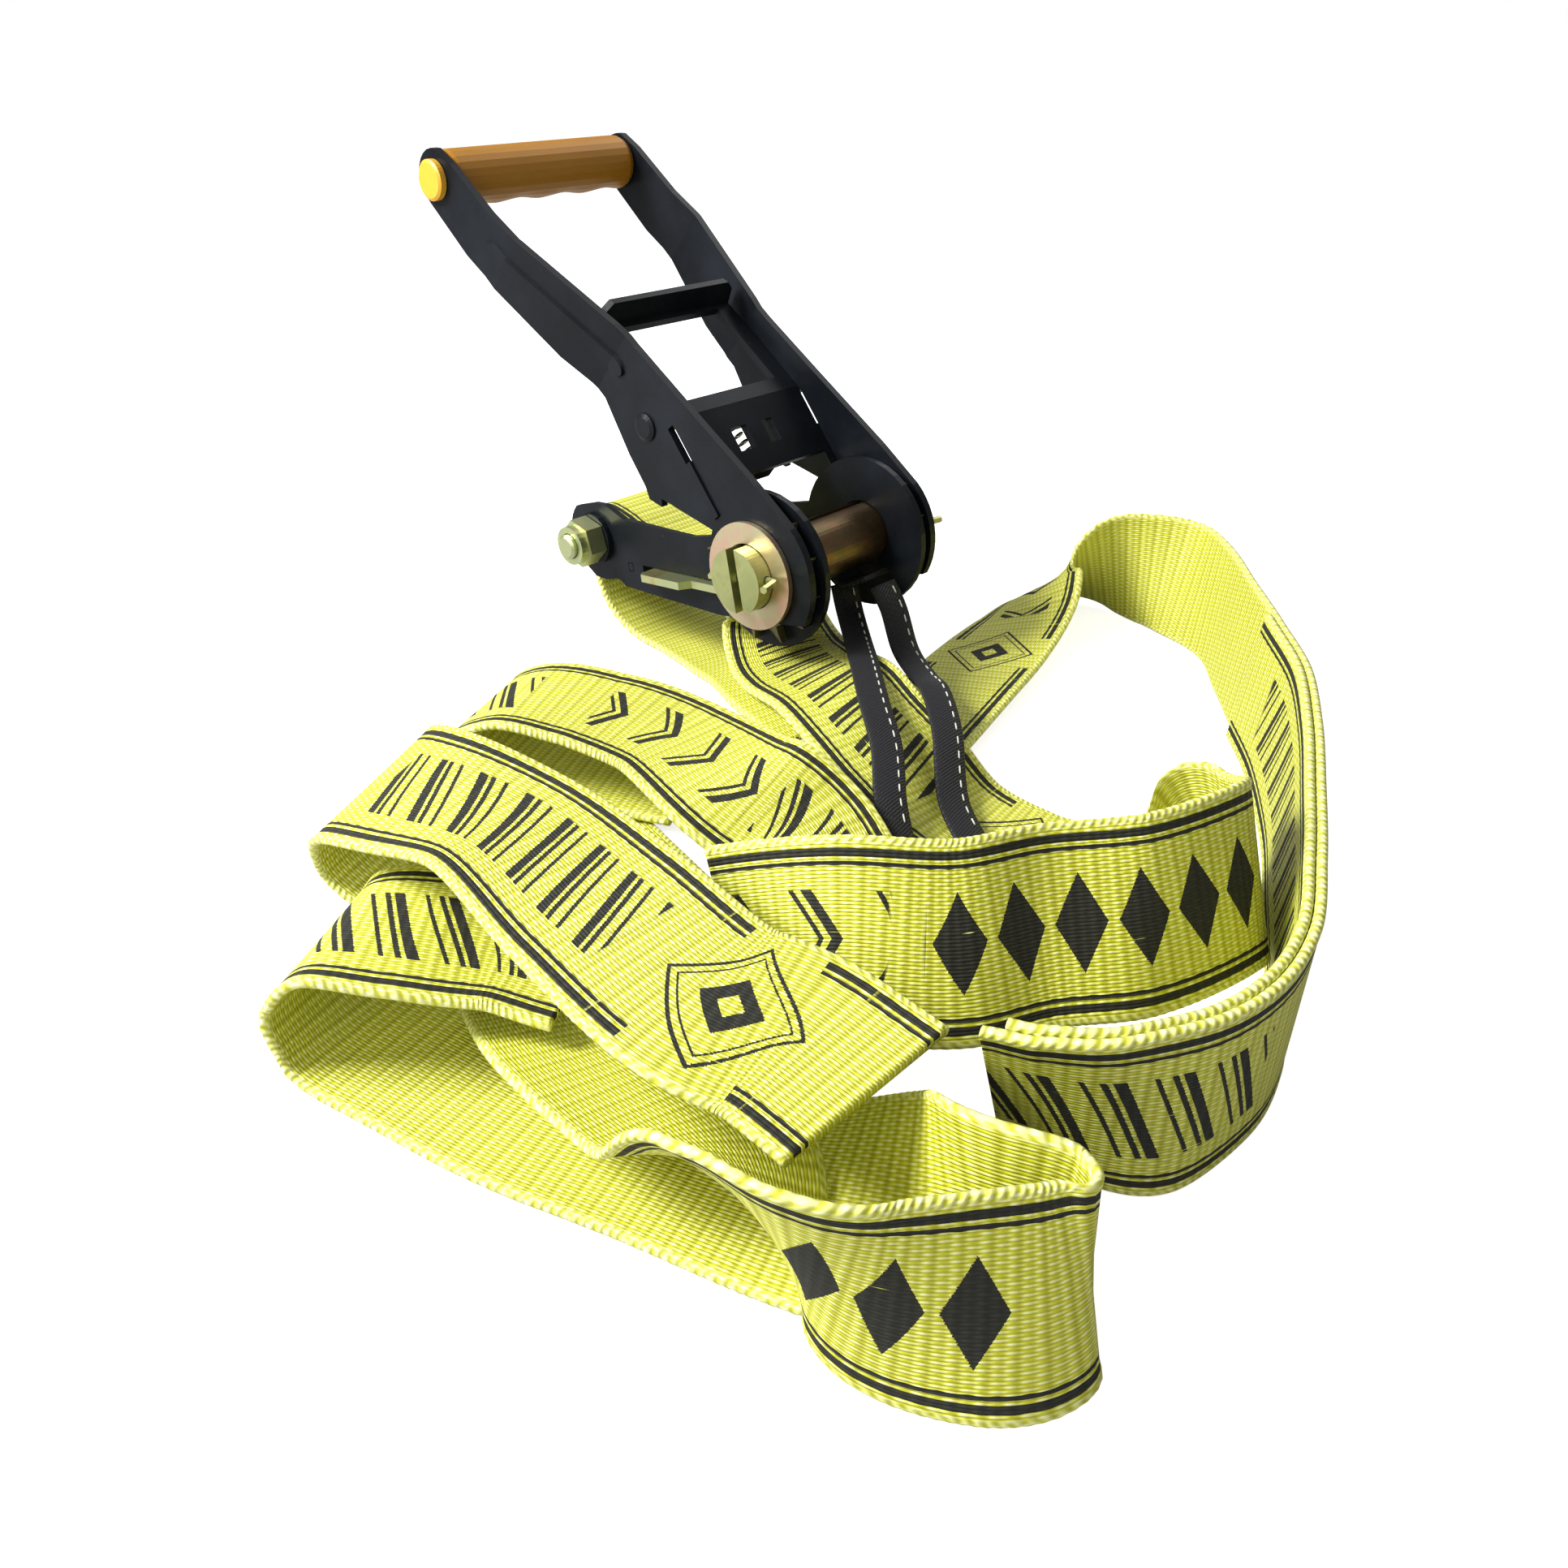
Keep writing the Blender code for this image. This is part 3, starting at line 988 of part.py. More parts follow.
def strip_piece(name, frames, start, end, width, thickness, key, offset=0.0, lanes=2):
    middle, across, normal, marks = frames
    lengths = np.concatenate([[0], np.cumsum(np.linalg.norm(np.diff(middle, axis=0), axis=1))])
    low = np.interp(start, marks, lengths) + WEB_JOIN_GAP / 2
    high = np.interp(end, marks, lengths) - WEB_JOIN_GAP / 2
    inner = lengths[(lengths > low + WEB_STEP / 3) & (lengths < high - WEB_STEP / 3)]
    stations = np.concatenate([[low], inner, [high]])

    def read(values):
        return np.stack([np.interp(stations, lengths, values[:, axis]) for axis in range(3)], axis=1)

    centre, side, up = read(middle), read(across), read(normal)
    side /= np.linalg.norm(side, axis=1)[:, None]
    up /= np.linalg.norm(up, axis=1)[:, None]
    centre = centre + up * offset
    ring = [(lane / lanes * 2 - 1, 1) for lane in range(lanes + 1)]
    ring += [(1 - lane / lanes * 2, -1) for lane in range(lanes + 1)]
    count = len(ring)
    verts = []
    for place in range(len(stations)):
        for share, face in ring:
            verts.append(centre[place] + side[place] * share * width / 2 + up[place] * face * thickness / 2)
    faces = []
    for place in range(len(stations) - 1):
        for corner in range(count):
            a = place * count + corner
            b = place * count + (corner + 1) % count
            faces.append((a, b, b + count, a + count))
    for lane in range(lanes):
        other = count - 1 - lane
        faces.append((lane + 1, lane, other, other - 1))
        shift = (len(stations) - 1) * count
        faces.append((shift + lane, shift + lane + 1, shift + other - 1, shift + other))
    mesh = bpy.data.meshes.new(name)
    mesh.from_pydata([tuple(vert) for vert in verts], [], faces)
    work = bmesh.new()
    work.from_mesh(mesh)
    return finish(name, close_up(work, mesh), key, None, True)


WEB_RUNS = (
    (T_ROUTE, (("web_sewn_lap", 0, 4), ("web_bolt_loop", 4, 11), ("web_loop_top", 11, 16), ("web_floor_run", 16, 22),
               ("web_twist_up", 22, 26), ("web_front_band", 26, 32))),
    (J_ROUTE, (("web_middle_fold", 0, 5), ("web_middle_tuck", 5, 11))),
    (K_ROUTE, (("web_low_band", 0, 4),)),
    (B_ROUTE, (("web_ring_rise", 0, 5), ("web_ring_bend", 5, 11), ("web_side_run", 11, 17), ("web_end_bend", 17, 21))),
    (I_ROUTE, (("web_left_top", 0, 3), ("web_left_roll", 3, 6), ("web_left_run", 6, 10.4), ("web_u_turn", 10.4, 15),
               ("web_under_run", 15, 19))),
    (F_ROUTE, (("web_cross_roll", 0, 4), ("web_cross_band", 4, 10))),
)
for route, pieces in WEB_RUNS:
    run_frames = strip_frames(route, WEB_WIDTH, WEB_THICKNESS)
    for piece_name, piece_start, piece_end in pieces:
        strip_piece(piece_name, run_frames, piece_start, piece_end, WEB_WIDTH, WEB_THICKNESS, "webbing")
# sewn end: a second layer inside the end bend
end_frames = strip_frames(B_ROUTE, WEB_WIDTH, WEB_THICKNESS)
strip_piece("web_end_lap", end_frames, END_LAP_START, END_LAP_END, WEB_WIDTH, WEB_THICKNESS, "webbing",
            END_LAP_SIDE * (WEB_THICKNESS + SEAM_GAP))

# black safety strap
for leg_name, leg_route in (("left", LEFT_LEG_ROUTE), ("right", RIGHT_LEG_ROUTE)):
    leg_frames = strip_frames(leg_route, STRAP_WIDTH, STRAP_THICKNESS)
    strip_piece("safety_strap_" + leg_name, leg_frames, 0, len(leg_route) - 1, STRAP_WIDTH, STRAP_THICKNESS,
                "strap_black", 0.0, 1)
bridge_frames = strip_frames(BRIDGE_ROUTE, STRAP_BRIDGE_WIDTH, STRAP_THICKNESS, False)
strip_piece("safety_strap_bridge", bridge_frames, 0, len(BRIDGE_ROUTE) - 1, STRAP_BRIDGE_WIDTH, STRAP_THICKNESS,
            "strap_black", 0.0, 1)
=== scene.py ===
import json, math
import bpy
import numpy as np
from mathutils import Matrix


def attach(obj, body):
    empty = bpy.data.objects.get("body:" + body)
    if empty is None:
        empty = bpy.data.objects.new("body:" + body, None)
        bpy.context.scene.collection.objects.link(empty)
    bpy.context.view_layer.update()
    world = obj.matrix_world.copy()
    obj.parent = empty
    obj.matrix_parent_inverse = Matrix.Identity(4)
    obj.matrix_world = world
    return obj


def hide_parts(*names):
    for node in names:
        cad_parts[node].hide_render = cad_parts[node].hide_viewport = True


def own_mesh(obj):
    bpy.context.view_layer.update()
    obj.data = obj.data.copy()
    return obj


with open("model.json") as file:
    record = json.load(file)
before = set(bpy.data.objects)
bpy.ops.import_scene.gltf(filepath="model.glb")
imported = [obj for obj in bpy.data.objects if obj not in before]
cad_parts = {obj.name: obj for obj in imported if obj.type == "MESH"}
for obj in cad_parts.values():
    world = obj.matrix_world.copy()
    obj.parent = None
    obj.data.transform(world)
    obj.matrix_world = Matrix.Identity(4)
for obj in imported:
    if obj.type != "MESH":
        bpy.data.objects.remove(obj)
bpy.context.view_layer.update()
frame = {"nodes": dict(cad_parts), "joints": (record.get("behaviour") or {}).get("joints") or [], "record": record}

nodes = frame["nodes"]
print("frame loaded:", len(nodes), "parts")

# the drum's middle: the routes start from it, and its x is the middle between the plates
drumMiddle = np.array([0.0598, 0.0430, 0.0550])

# camera
cameraSet = {"place": (-0.2949, -0.2702, 0.2322), "ahead": (0.629, 0.587, -0.5105),
             "right": (0.682, -0.731, 0.0), "lens": 30.09, "sensor": 36.0, "near": 0.01, "far": 40.0}


def unit(vector):
    return np.array(vector, float) / np.linalg.norm(vector)


def standing(side, up, back, place):
    # matrix with an object's own x, y and z directions as its columns, then its place
    return Matrix([[side[k], up[k], back[k], place[k]] for k in range(3)] + [[0, 0, 0, 1]])


def addCamera():
    ahead = unit(cameraSet["ahead"])
    right = np.array(cameraSet["right"], float)
    right = unit(right - ahead * (right @ ahead))
    data = bpy.data.cameras.new("camera")
    data.lens, data.sensor_width = cameraSet["lens"], cameraSet["sensor"]
    data.clip_start, data.clip_end = cameraSet["near"], cameraSet["far"]
    camera = bpy.data.objects.new("camera", data)
    bpy.context.scene.collection.objects.link(camera)
    camera.matrix_world = standing(right, np.cross(right, ahead), -ahead, cameraSet["place"])
    bpy.context.scene.camera = camera


# lamps: square, each turned to the same target
lampTarget = (0.0, -0.02, 0.04)
lampSet = {"key": {"power": 27.5, "size": 0.45, "place": (-0.72, 0.56, 0.84)},
           "fill": {"power": 4.2, "size": 0.9, "place": (-0.92, -0.25, 0.50)},
           "rim": {"power": 1.4, "size": 0.5, "place": (0.60, 0.20, 0.60)}}


def addLamp(name, power, size, place):
    # a lamp shines down its own -Z
    data = bpy.data.lights.new(name, "AREA")
    data.energy, data.size = power, size
    lamp = bpy.data.objects.new(name, data)
    bpy.context.scene.collection.objects.link(lamp)
    back = unit(np.array(place) - np.array(lampTarget))
    side = unit(np.cross((0.0, 0.0, 1.0), back))
    lamp.matrix_world = standing(side, np.cross(back, side), back, place)


addCamera()
for lampName, lampValues in lampSet.items():
    addLamp(lampName, **lampValues)
bpy.context.scene.view_settings.view_transform = "Standard"
print("camera and lamps set:", len(lampSet), "lamps")


# shader arithmetic
class Value:
    # wraps one socket, so that plain Python arithmetic adds Math nodes
    def __init__(self, kit, socket):
        self.kit, self.socket = kit, socket

    def __add__(self, other):
        return self.kit.math("ADD", self, other)

    def __radd__(self, other):
        return self.kit.math("ADD", other, self)

    def __sub__(self, other):
        return self.kit.math("SUBTRACT", self, other)

    def __rsub__(self, other):
        return self.kit.math("SUBTRACT", other, self)

    def __mul__(self, other):
        return self.kit.math("MULTIPLY", self, other)

    def __rmul__(self, other):
        return self.kit.math("MULTIPLY", other, self)

    def __truediv__(self, other):
        return self.kit.math("DIVIDE", self, other)

    def __rtruediv__(self, other):
        return self.kit.math("DIVIDE", other, self)

    def __abs__(self):
        return self.kit.math("ABSOLUTE", self)

    def __lt__(self, other):
        return self.kit.math("LESS_THAN", self, other)

    def __gt__(self, other):
        return self.kit.math("GREATER_THAN", self, other)

    def fraction(self):
        return self.kit.math("FRACT", self)

    def floor(self):
        return self.kit.math("FLOOR", self)

    def modulo(self, other):
        return self.kit.math("FLOORED_MODULO", self, other)

    def least(self, other):
        return self.kit.math("MINIMUM", self, other)

    def wave(self):
        # sine that repeats at every whole number
        return self.kit.math("SINE", self * 2.0 * math.pi)

    def arch(self):
        # half a sine: 0 at 0 and 1, highest between
        return self.kit.math("SINE", self * math.pi)

    def smooth(self, low, high):
        # 0 below low, 1 above high, smooth between
        return self.kit.node("ShaderNodeMapRange", {"interpolation_type": "SMOOTHSTEP"},
                             {"Value": self, "From Min": low, "From Max": high}, "Result")

    def within(self, low, high):
        # 1 between low and high, else 0
        return (self > low) * (self < high)

    def inAny(self, ranges):
        # 1 inside any of the ranges, which don't overlap
        total = self.within(*ranges[0])
        for low, high in ranges[1:]:
            total = total + self.within(low, high)
        return total


class Kit:
    # one material; node() adds any node from its type, settings and inputs
    def __init__(self, name):
        self.material = bpy.data.materials.new(name)
        self.material.use_nodes = True
        self.tree = self.material.node_tree
        self.shader = self.tree.nodes["Principled BSDF"]

    def node(self, kind, settings=None, inputs=None, output=0):
        node = self.tree.nodes.new(kind)
        for name, value in (settings or {}).items():
            if name == "stops":
                self.setStops(node.color_ramp, value)
            else:
                setattr(node, name, value)
        for name, value in (inputs or {}).items():
            self.plug(node.inputs[name], value)
        return Value(self, node.outputs[output])

    def setStops(self, ramp, stops):
        while len(ramp.elements) < len(stops):
            ramp.elements.new(0.5)
        for element, (place, colour) in zip(ramp.elements, stops):
            element.position = place
            element.color = (*colour, 1.0)

    def plug(self, socket, value):
        # a Value is linked, a number or a colour is set
        if isinstance(value, Value):
            self.tree.links.new(value.socket, socket)
        elif socket.type == "RGBA":
            socket.default_value = (*value, 1.0)
        else:
            socket.default_value = value

    def math(self, operation, *values):
        return self.node("ShaderNodeMath", {"operation": operation}, dict(enumerate(values)))

    def mix(self, share, first, second):
        return self.node("ShaderNodeMix", {"data_type": "RGBA"}, {0: share, 6: first, 7: second}, 2)

    def split(self, vector):
        node = self.tree.nodes.new("ShaderNodeSeparateXYZ")
        self.plug(node.inputs[0], vector)
        return [Value(self, node.outputs[k]) for k in range(3)]

    def join(self, x, y, z):
        return self.node("ShaderNodeCombineXYZ", None, {0: x, 1: y, 2: z})

    def place(self):
        return self.node("ShaderNodeTexCoord", None, None, "Object")

    def attribute(self, name):
        return self.node("ShaderNodeAttribute", {"attribute_name": name}, None, "Vector")

    def noise(self, vector, scale, detail, rough=0.55):
        inputs = {"Vector": vector, "Scale": scale, "Detail": detail, "Roughness": rough}
        return self.node("ShaderNodeTexNoise", None, inputs)

    def stretched(self, vector, scales):
        return self.node("ShaderNodeMapping", None, {"Vector": vector, "Scale": scales})

    def bump(self, height, distance, strength):
        inputs = {"Height": height, "Distance": distance, "Strength": strength}
        return self.node("ShaderNodeBump", None, inputs)

    def set(self, **values):
        for name, value in values.items():
            self.plug(self.shader.inputs[name.replace("_", " ")], value)
        return self.material


# webbing cloth: lengths in metres across and along the strap
# colours: the cloth's own yellow, a darker painted shade of it, and a pale painted highlight
clothSet = {"yellow": (0.73, 0.74, 0.035), "deep": (0.31, 0.298, 0.002), "glint": (0.97, 0.99, 0.62),
            "rough": 0.43, "shine": 0.42, "relief": 0.00034, "pick": 0.0054, "yarn": 0.00090,
            "selvedge": (0.0222, 0.0236), "edgeRoll": 0.0023, "edgeSlope": 260.0}
printSet = {"ink": (0.007, 0.007, 0.009), "inkRough": 0.30, "jag": 0.0008, "crack": (0.24, 0.27),
            "stripes": ((0.0196, 0.0217), (0.0175, 0.0186)), "stripeBreak": 0.0120,
            "barPitch": 0.0150, "barSlope": 0.42, "barHalf": 0.0122,
            "barShares": ((0.08, 0.27), (0.34, 0.44), (0.62, 0.70)),
            "chevronPitch": 0.0205, "chevronSlope": 0.62, "chevronHalf": 0.0118,
            "chevronShares": ((0.10, 0.24), (0.33, 0.40)),
            "lozengePitch": 0.0158, "lozengeLong": 0.0066, "lozengeHalf": 0.0122,
            "diamondRings": ((0.0178, 0.0191), (0.0150, 0.0157), (0.0035, 0.0085))}


def printInk(kit, u, v, side, jag):
    # ink on the printed side: edge stripes, slanted bars in threes, chevrons, lozenges and nested diamonds
    # each kind shows where its attribute is 1, and along is measured from that kind's own zero
    along, diamonds, _ = kit.split(kit.attribute("motif"))
    bars, chevrons, lozenges = kit.split(kit.attribute("shown"))
    off = abs(u) + jag * 0.6
    x = along + jag
    stripes = off.inAny(printSet["stripes"]) * (1.0 - diamonds * (abs(along) < printSet["stripeBreak"]))
    slant = ((x + u * printSet["barSlope"]) / printSet["barPitch"]).fraction()
    bars = bars * slant.inAny(printSet["barShares"]) * (off < printSet["barHalf"])
    arrow = ((x - off * printSet["chevronSlope"]) / printSet["chevronPitch"] + 0.5).fraction()
    chevrons = chevrons * arrow.inAny(printSet["chevronShares"]) * (off < printSet["chevronHalf"])
    cell = abs((x / printSet["lozengePitch"]).fraction() - 0.5) * printSet["lozengePitch"]
    lozenges = lozenges * ((cell / printSet["lozengeLong"] + off / printSet["lozengeHalf"]) < 1.0)
    diamonds = diamonds * (abs(x) + off).inAny(printSet["diamondRings"])
    crack = kit.noise(kit.join(u * 1100.0, v * 42.0, 0.0), 1.0, 2.0).smooth(*printSet["crack"])
    return (stripes + bars + chevrons + lozenges + diamonds).least(1.0) * (side > 0.5) * crack


def makeWebbing():
    kit = Kit("wovenWebbing")
    u, v, side = kit.split(kit.attribute("strip"))
    wobble = kit.noise(kit.join(u * 40.0, v * 40.0, 0.0), 6.0, 2.0) - 0.5
    # weave: yarns run along the strap, each rises once a pick and its neighbour half a pick later
    yarn = u / clothSet["yarn"] + wobble * 0.25
    row = yarn.floor().modulo(2.0)
    across = abs(yarn.fraction() - 0.5) * 2.0
    lens = (v / clothSet["pick"] + row * 0.5 + wobble * 0.08).fraction().arch()
    bulge = 1.0 - across * across
    pick = v / clothSet["pick"] + wobble * 0.10
    rib = (pick * 2.0).wave() * 0.34 + pick.wave() * 0.16 + 0.5
    height = bulge * (0.35 + lens * 0.45) + rib * 0.55
    # selvedge: small rolls along both edges
    edge = abs(u).smooth(*clothSet["selvedge"])
    roll = (v / clothSet["edgeRoll"] + abs(u) * clothSet["edgeSlope"]).wave() * 0.5 + 0.5
    height = height * (1.0 - edge) + (roll * 0.9 + 0.3) * edge
    ink = printInk(kit, u, v, side, (lens - 0.5) * (across - 0.5) * printSet["jag"])
    # painted shade and highlight: the hollows between the yarns and ribs are painted darker, and the yarns' tops
    # paler as if catching the light, with random patches of tone
    lift = height.smooth(-0.15, 1.15)
    patch = kit.noise(kit.join(u * 9.0, v * 9.0, side), 4.0, 3.0)
    cloth = kit.mix(lift * 0.45 + rib * 0.37 + patch * 0.24, clothSet["deep"], clothSet["yellow"])
    # painted highlight: the yarns' tops are painted pale, most of all on the ribs
    cloth = kit.mix((bulge * lens).smooth(0.35, 0.95) * (rib * 0.75 + 0.10), cloth, clothSet["glint"])
    # painted highlight on the selvedge rolls
    cloth = kit.mix(edge * 0.35 * roll, cloth, clothSet["glint"])
    colour = kit.mix(ink * 0.985, cloth, printSet["ink"])
    rough = clothSet["rough"] + (1.0 - lift) * 0.25 + ink * printSet["inkRough"]
    return kit.set(Base_Color=colour, Roughness=rough, Specular_IOR_Level=clothSet["shine"],
                   Normal=kit.bump(height, clothSet["relief"], 0.9))


# safety strap's weave and its thread
# the strap's black, and a paler painted highlight of it
blackSet = {"black": (0.005, 0.005, 0.006), "high": (0.030, 0.030, 0.034), "rough": 0.60, "shine": 0.28,
            "relief": 0.00028, "twill": 0.0013, "rowAcross": 0.0011, "rowAlong": 0.0026}
threadSet = {"pale": (0.72, 0.71, 0.66), "shade": (0.36, 0.36, 0.30), "rough": 0.6, "relief": 0.0001}


def makeStrap():
    # twill lines at a slant, each broken by finer rows
    kit = Kit("blackStrapWeave")
    u, v, side = kit.split(kit.attribute("strip"))
    twill = ((v + u * 0.8) / blackSet["twill"]).wave() * 0.5 + 0.5
    rows = (u / blackSet["rowAcross"] + v / blackSet["rowAlong"]).wave() * 0.5 + 0.5
    height = twill * (rows * 0.5 + 0.5)
    fuzz = kit.noise(kit.join(u * 60.0, v * 60.0, side), 12.0, 3.0)
    # painted highlight and shade: the twill's ridges are painted paler and its hollows darker, with random fuzz
    colour = kit.mix(height * 0.55 + fuzz * 0.25, blackSet["black"], blackSet["high"])
    return kit.set(Base_Color=colour, Roughness=blackSet["rough"] - height * 0.18,
                   Specular_IOR_Level=blackSet["shine"], Normal=kit.bump(height, blackSet["relief"], 0.9))


def makeThread():
    kit = Kit("whiteThread")
    twist = kit.noise(kit.place(), 900.0, 2.0)
    colour = kit.mix(twist, threadSet["shade"], threadSet["pale"])
    return kit.set(Base_Color=colour, Roughness=threadSet["rough"],
                   Normal=kit.bump(twist, threadSet["relief"], 0.6))


# black steel: thin paint, worn to bare metal in scratches and chips
steelSet = {"paint": (0.004, 0.005, 0.007), "paintHigh": (0.009, 0.011, 0.015), "bare": (0.16, 0.15, 0.13),
            "rough": 0.24, "shine": 0.16, "relief": 0.00006}


def makeBlackSteel():
    kit = Kit("blackPaintedSteel")
    place = kit.place()
    cloud = kit.noise(place, 28.0, 4.0)
    grain = kit.noise(place, 900.0, 2.0)
    peel = kit.noise(place, 260.0, 2.0)
    scratch = kit.noise(kit.stretched(place, (1.0, 14.0, 3.0)), 160.0, 3.0).smooth(0.70, 0.76)
    chip = kit.noise(place, 420.0, 5.0).smooth(0.735, 0.75)
    worn = (scratch * 0.22 + chip * 0.7).least(1.0)
    colour = kit.mix(cloud.smooth(0.35, 0.7), steelSet["paint"], steelSet["paintHigh"])
    colour = kit.mix(worn * 0.5, colour, steelSet["bare"])
    return kit.set(Base_Color=colour, Roughness=steelSet["rough"] + cloud * 0.14 + grain * 0.08,
                   Metallic=worn * 0.6, Specular_IOR_Level=steelSet["shine"],
                   Normal=kit.bump(peel + grain * 0.4, steelSet["relief"], 0.5))


# zinc and its like: metal whose tint drifts in soft clouds between the colours
# ends: the colours of what stands outside the plates, measured along x from the drum's middle
zincSet = {"metal": 0.92, "relief": 0.00003, "spot": (0.10, 0.085, 0.05), "outside": 0.036,
           "blend": 0.002}
zincKinds = {
    "yellowZinc": {
        "colours": [(0.40, 0.30, 0.12), (0.56, 0.55, 0.26), (0.50, 0.56, 0.30), (0.60, 0.46, 0.26)]},
    "pinkZinc": {
        "colours": [(0.62, 0.50, 0.30), (0.68, 0.44, 0.32), (0.60, 0.55, 0.34), (0.66, 0.47, 0.36)]},
    "bronzeZinc": {
        "colours": [(0.10, 0.050, 0.025), (0.20, 0.11, 0.06), (0.13, 0.10, 0.045), (0.23, 0.13, 0.08)],
        "ends": [(0.34, 0.33, 0.12), (0.48, 0.50, 0.22), (0.42, 0.46, 0.20), (0.50, 0.42, 0.20)],
        "rough": 0.26, "cloudScale": 90.0},
    "springWire": {
        "colours": [(0.45, 0.43, 0.38), (0.55, 0.53, 0.48)], "rough": 0.28},
    # painted shade: the toothed wheels get dark colours in place of the yellow zinc of their slot, for the shadow
    # they sit in
    "wheelZinc": {
        "colours": [(0.07, 0.055, 0.03), (0.14, 0.12, 0.06), (0.22, 0.20, 0.10), (0.10, 0.07, 0.04)],
        "rough": 0.34, "cloudScale": 110.0}}


def tintRamp(kit, share, colours):
    # the colours stand evenly over the middle half of the cloud's range
    stops = [(0.25 + 0.5 * k / (len(colours) - 1), colour) for k, colour in enumerate(colours)]
    return kit.node("ShaderNodeValToRGB", {"stops": stops}, {"Fac": share}, "Color")


def makeZinc(name, colours, ends=None, rough=0.30, cloudScale=60.0):
    kit = Kit(name)
    place = kit.place()
    cloud = kit.noise(place, cloudScale, 4.0, 0.6)
    tint = tintRamp(kit, cloud, colours)
    if ends:
        x = kit.split(place)[0]
        low = zincSet["outside"]
        outside = abs(x - drumMiddle[0]).smooth(low, low + zincSet["blend"])
        tint = kit.mix(outside, tint, tintRamp(kit, cloud, ends))
    brush = kit.noise(kit.stretched(place, (30.0, 3.0, 3.0)), 120.0, 3.0)
    spot = kit.noise(place, 500.0, 4.0).smooth(0.68, 0.78)
    colour = kit.mix(spot * 0.45, tint, zincSet["spot"])
    return kit.set(Base_Color=colour, Metallic=zincSet["metal"], Roughness=rough + brush * 0.16 + spot * 0.2,
                   Normal=kit.bump(brush, zincSet["relief"], 0.5))


# amber plastic: slightly clear, with flow lines and scuffs; the caps are paler than the grip
amberSet = {"rough": 0.36, "shine": 0.4, "relief": 0.00005, "scuff": (0.72, 0.45, 0.09),
            "subsurface": 0.12, "subsurfaceDepth": 0.004, "coat": 0.05, "coatRough": 0.25}
amberKinds = {"amberPlastic": {"base": (0.29, 0.120, 0.004), "high": (0.42, 0.185, 0.008)},
              "amberCap": {"base": (0.64, 0.32, 0.018), "high": (0.76, 0.43, 0.040)}}


def makeAmber(name, base, high):
    kit = Kit(name)
    place = kit.place()
    cloud = kit.noise(place, 32.0, 3.0)
    grain = kit.noise(place, 1400.0, 2.0)
    flow = kit.noise(kit.stretched(place, (0.4, 2.0, 2.0)), 70.0, 2.0)
    scuff = kit.noise(kit.stretched(place, (4.0, 1.0, 1.0)), 240.0, 4.0).smooth(0.66, 0.74)
    colour = kit.mix(cloud * 0.5 + flow * 0.5, base, high)
    colour = kit.mix(scuff * 0.22, colour, amberSet["scuff"])
    return kit.set(Base_Color=colour, Roughness=amberSet["rough"] + grain * 0.12 + scuff * 0.15,
                   Specular_IOR_Level=amberSet["shine"], Subsurface_Weight=amberSet["subsurface"],
                   Subsurface_Scale=amberSet["subsurfaceDepth"], Coat_Weight=amberSet["coat"],
                   Coat_Roughness=amberSet["coatRough"],
                   Normal=kit.bump(grain + flow * 0.6, amberSet["relief"], 0.4))


zincs = {name: makeZinc(name, **values) for name, values in zincKinds.items()}
ambers = {name: makeAmber(name, **values) for name, values in amberKinds.items()}
finishes = {"webbing": makeWebbing(), "strap_black": makeStrap(), "thread": makeThread(),
            "black_steel": makeBlackSteel(), "amber_plastic": ambers["amberPlastic"],
            "zinc_yellow": zincs["yellowZinc"], "zinc_pink": zincs["pinkZinc"],
            "drum_bronze": zincs["bronzeZinc"], "spring_steel": zincs["springWire"]}
ownFinish = {"grip_cap": ambers["amberCap"], "toothed_wheel": zincs["wheelZinc"]}
print("materials made:", len(finishes) + len(ownFinish))

slotOf = {row["node"]: row["material_slot"] for row in frame["record"]["subparts"]}
for nodeName, part in nodes.items():
    kind = nodeName.rsplit("_", 1)[0]
    part.data.materials.clear()
    part.data.materials.append(ownFinish.get(kind) or finishes[slotOf[nodeName]])

# floor and background: the camera sees them white, and the part gets less light back from them
stageSet = {"half": 30.0, "drop": 0.0003, "lit": (0.45, 0.45, 0.45), "seen": (0.90, 0.90, 0.90), "rough": 0.9,
            "shine": 0.1, "glow": 0.78, "sky": 0.30, "backdrop": 1.0}


def addFloor():
    half, level = stageSet["half"], -stageSet["drop"]
    mesh = bpy.data.meshes.new("floor")
    corners = [(-half, -half, level), (half, -half, level), (half, half, level), (-half, half, level)]
    mesh.from_pydata(corners, [], [(0, 1, 2, 3)])
    floor = bpy.data.objects.new("floor", mesh)
    bpy.context.scene.collection.objects.link(floor)
    kit = Kit("paleFloor")
    seen = kit.node("ShaderNodeLightPath", None, None, "Is Camera Ray")
    mesh.materials.append(kit.set(
        Base_Color=kit.mix(seen, stageSet["lit"], stageSet["seen"]), Roughness=stageSet["rough"],
        Specular_IOR_Level=stageSet["shine"],
        Emission_Color=kit.mix(seen, (0.0, 0.0, 0.0), (1.0, 1.0, 1.0)), Emission_Strength=stageSet["glow"]))


def addSky():
    world = bpy.data.worlds.new("paleSky")
    bpy.context.scene.world = world
    world.use_nodes = True
    tree = world.node_tree
    ground = tree.nodes["Background"]
    ground.inputs["Color"].default_value = (1, 1, 1, 1)
    ray = tree.nodes.new("ShaderNodeLightPath")
    strength = tree.nodes.new("ShaderNodeMapRange")
    strength.inputs["To Min"].default_value = stageSet["sky"]
    strength.inputs["To Max"].default_value = stageSet["backdrop"]
    tree.links.new(ray.outputs["Is Camera Ray"], strength.inputs["Value"])
    tree.links.new(strength.outputs["Result"], ground.inputs["Strength"])


addFloor()
addSky()
print("floor and sky made")

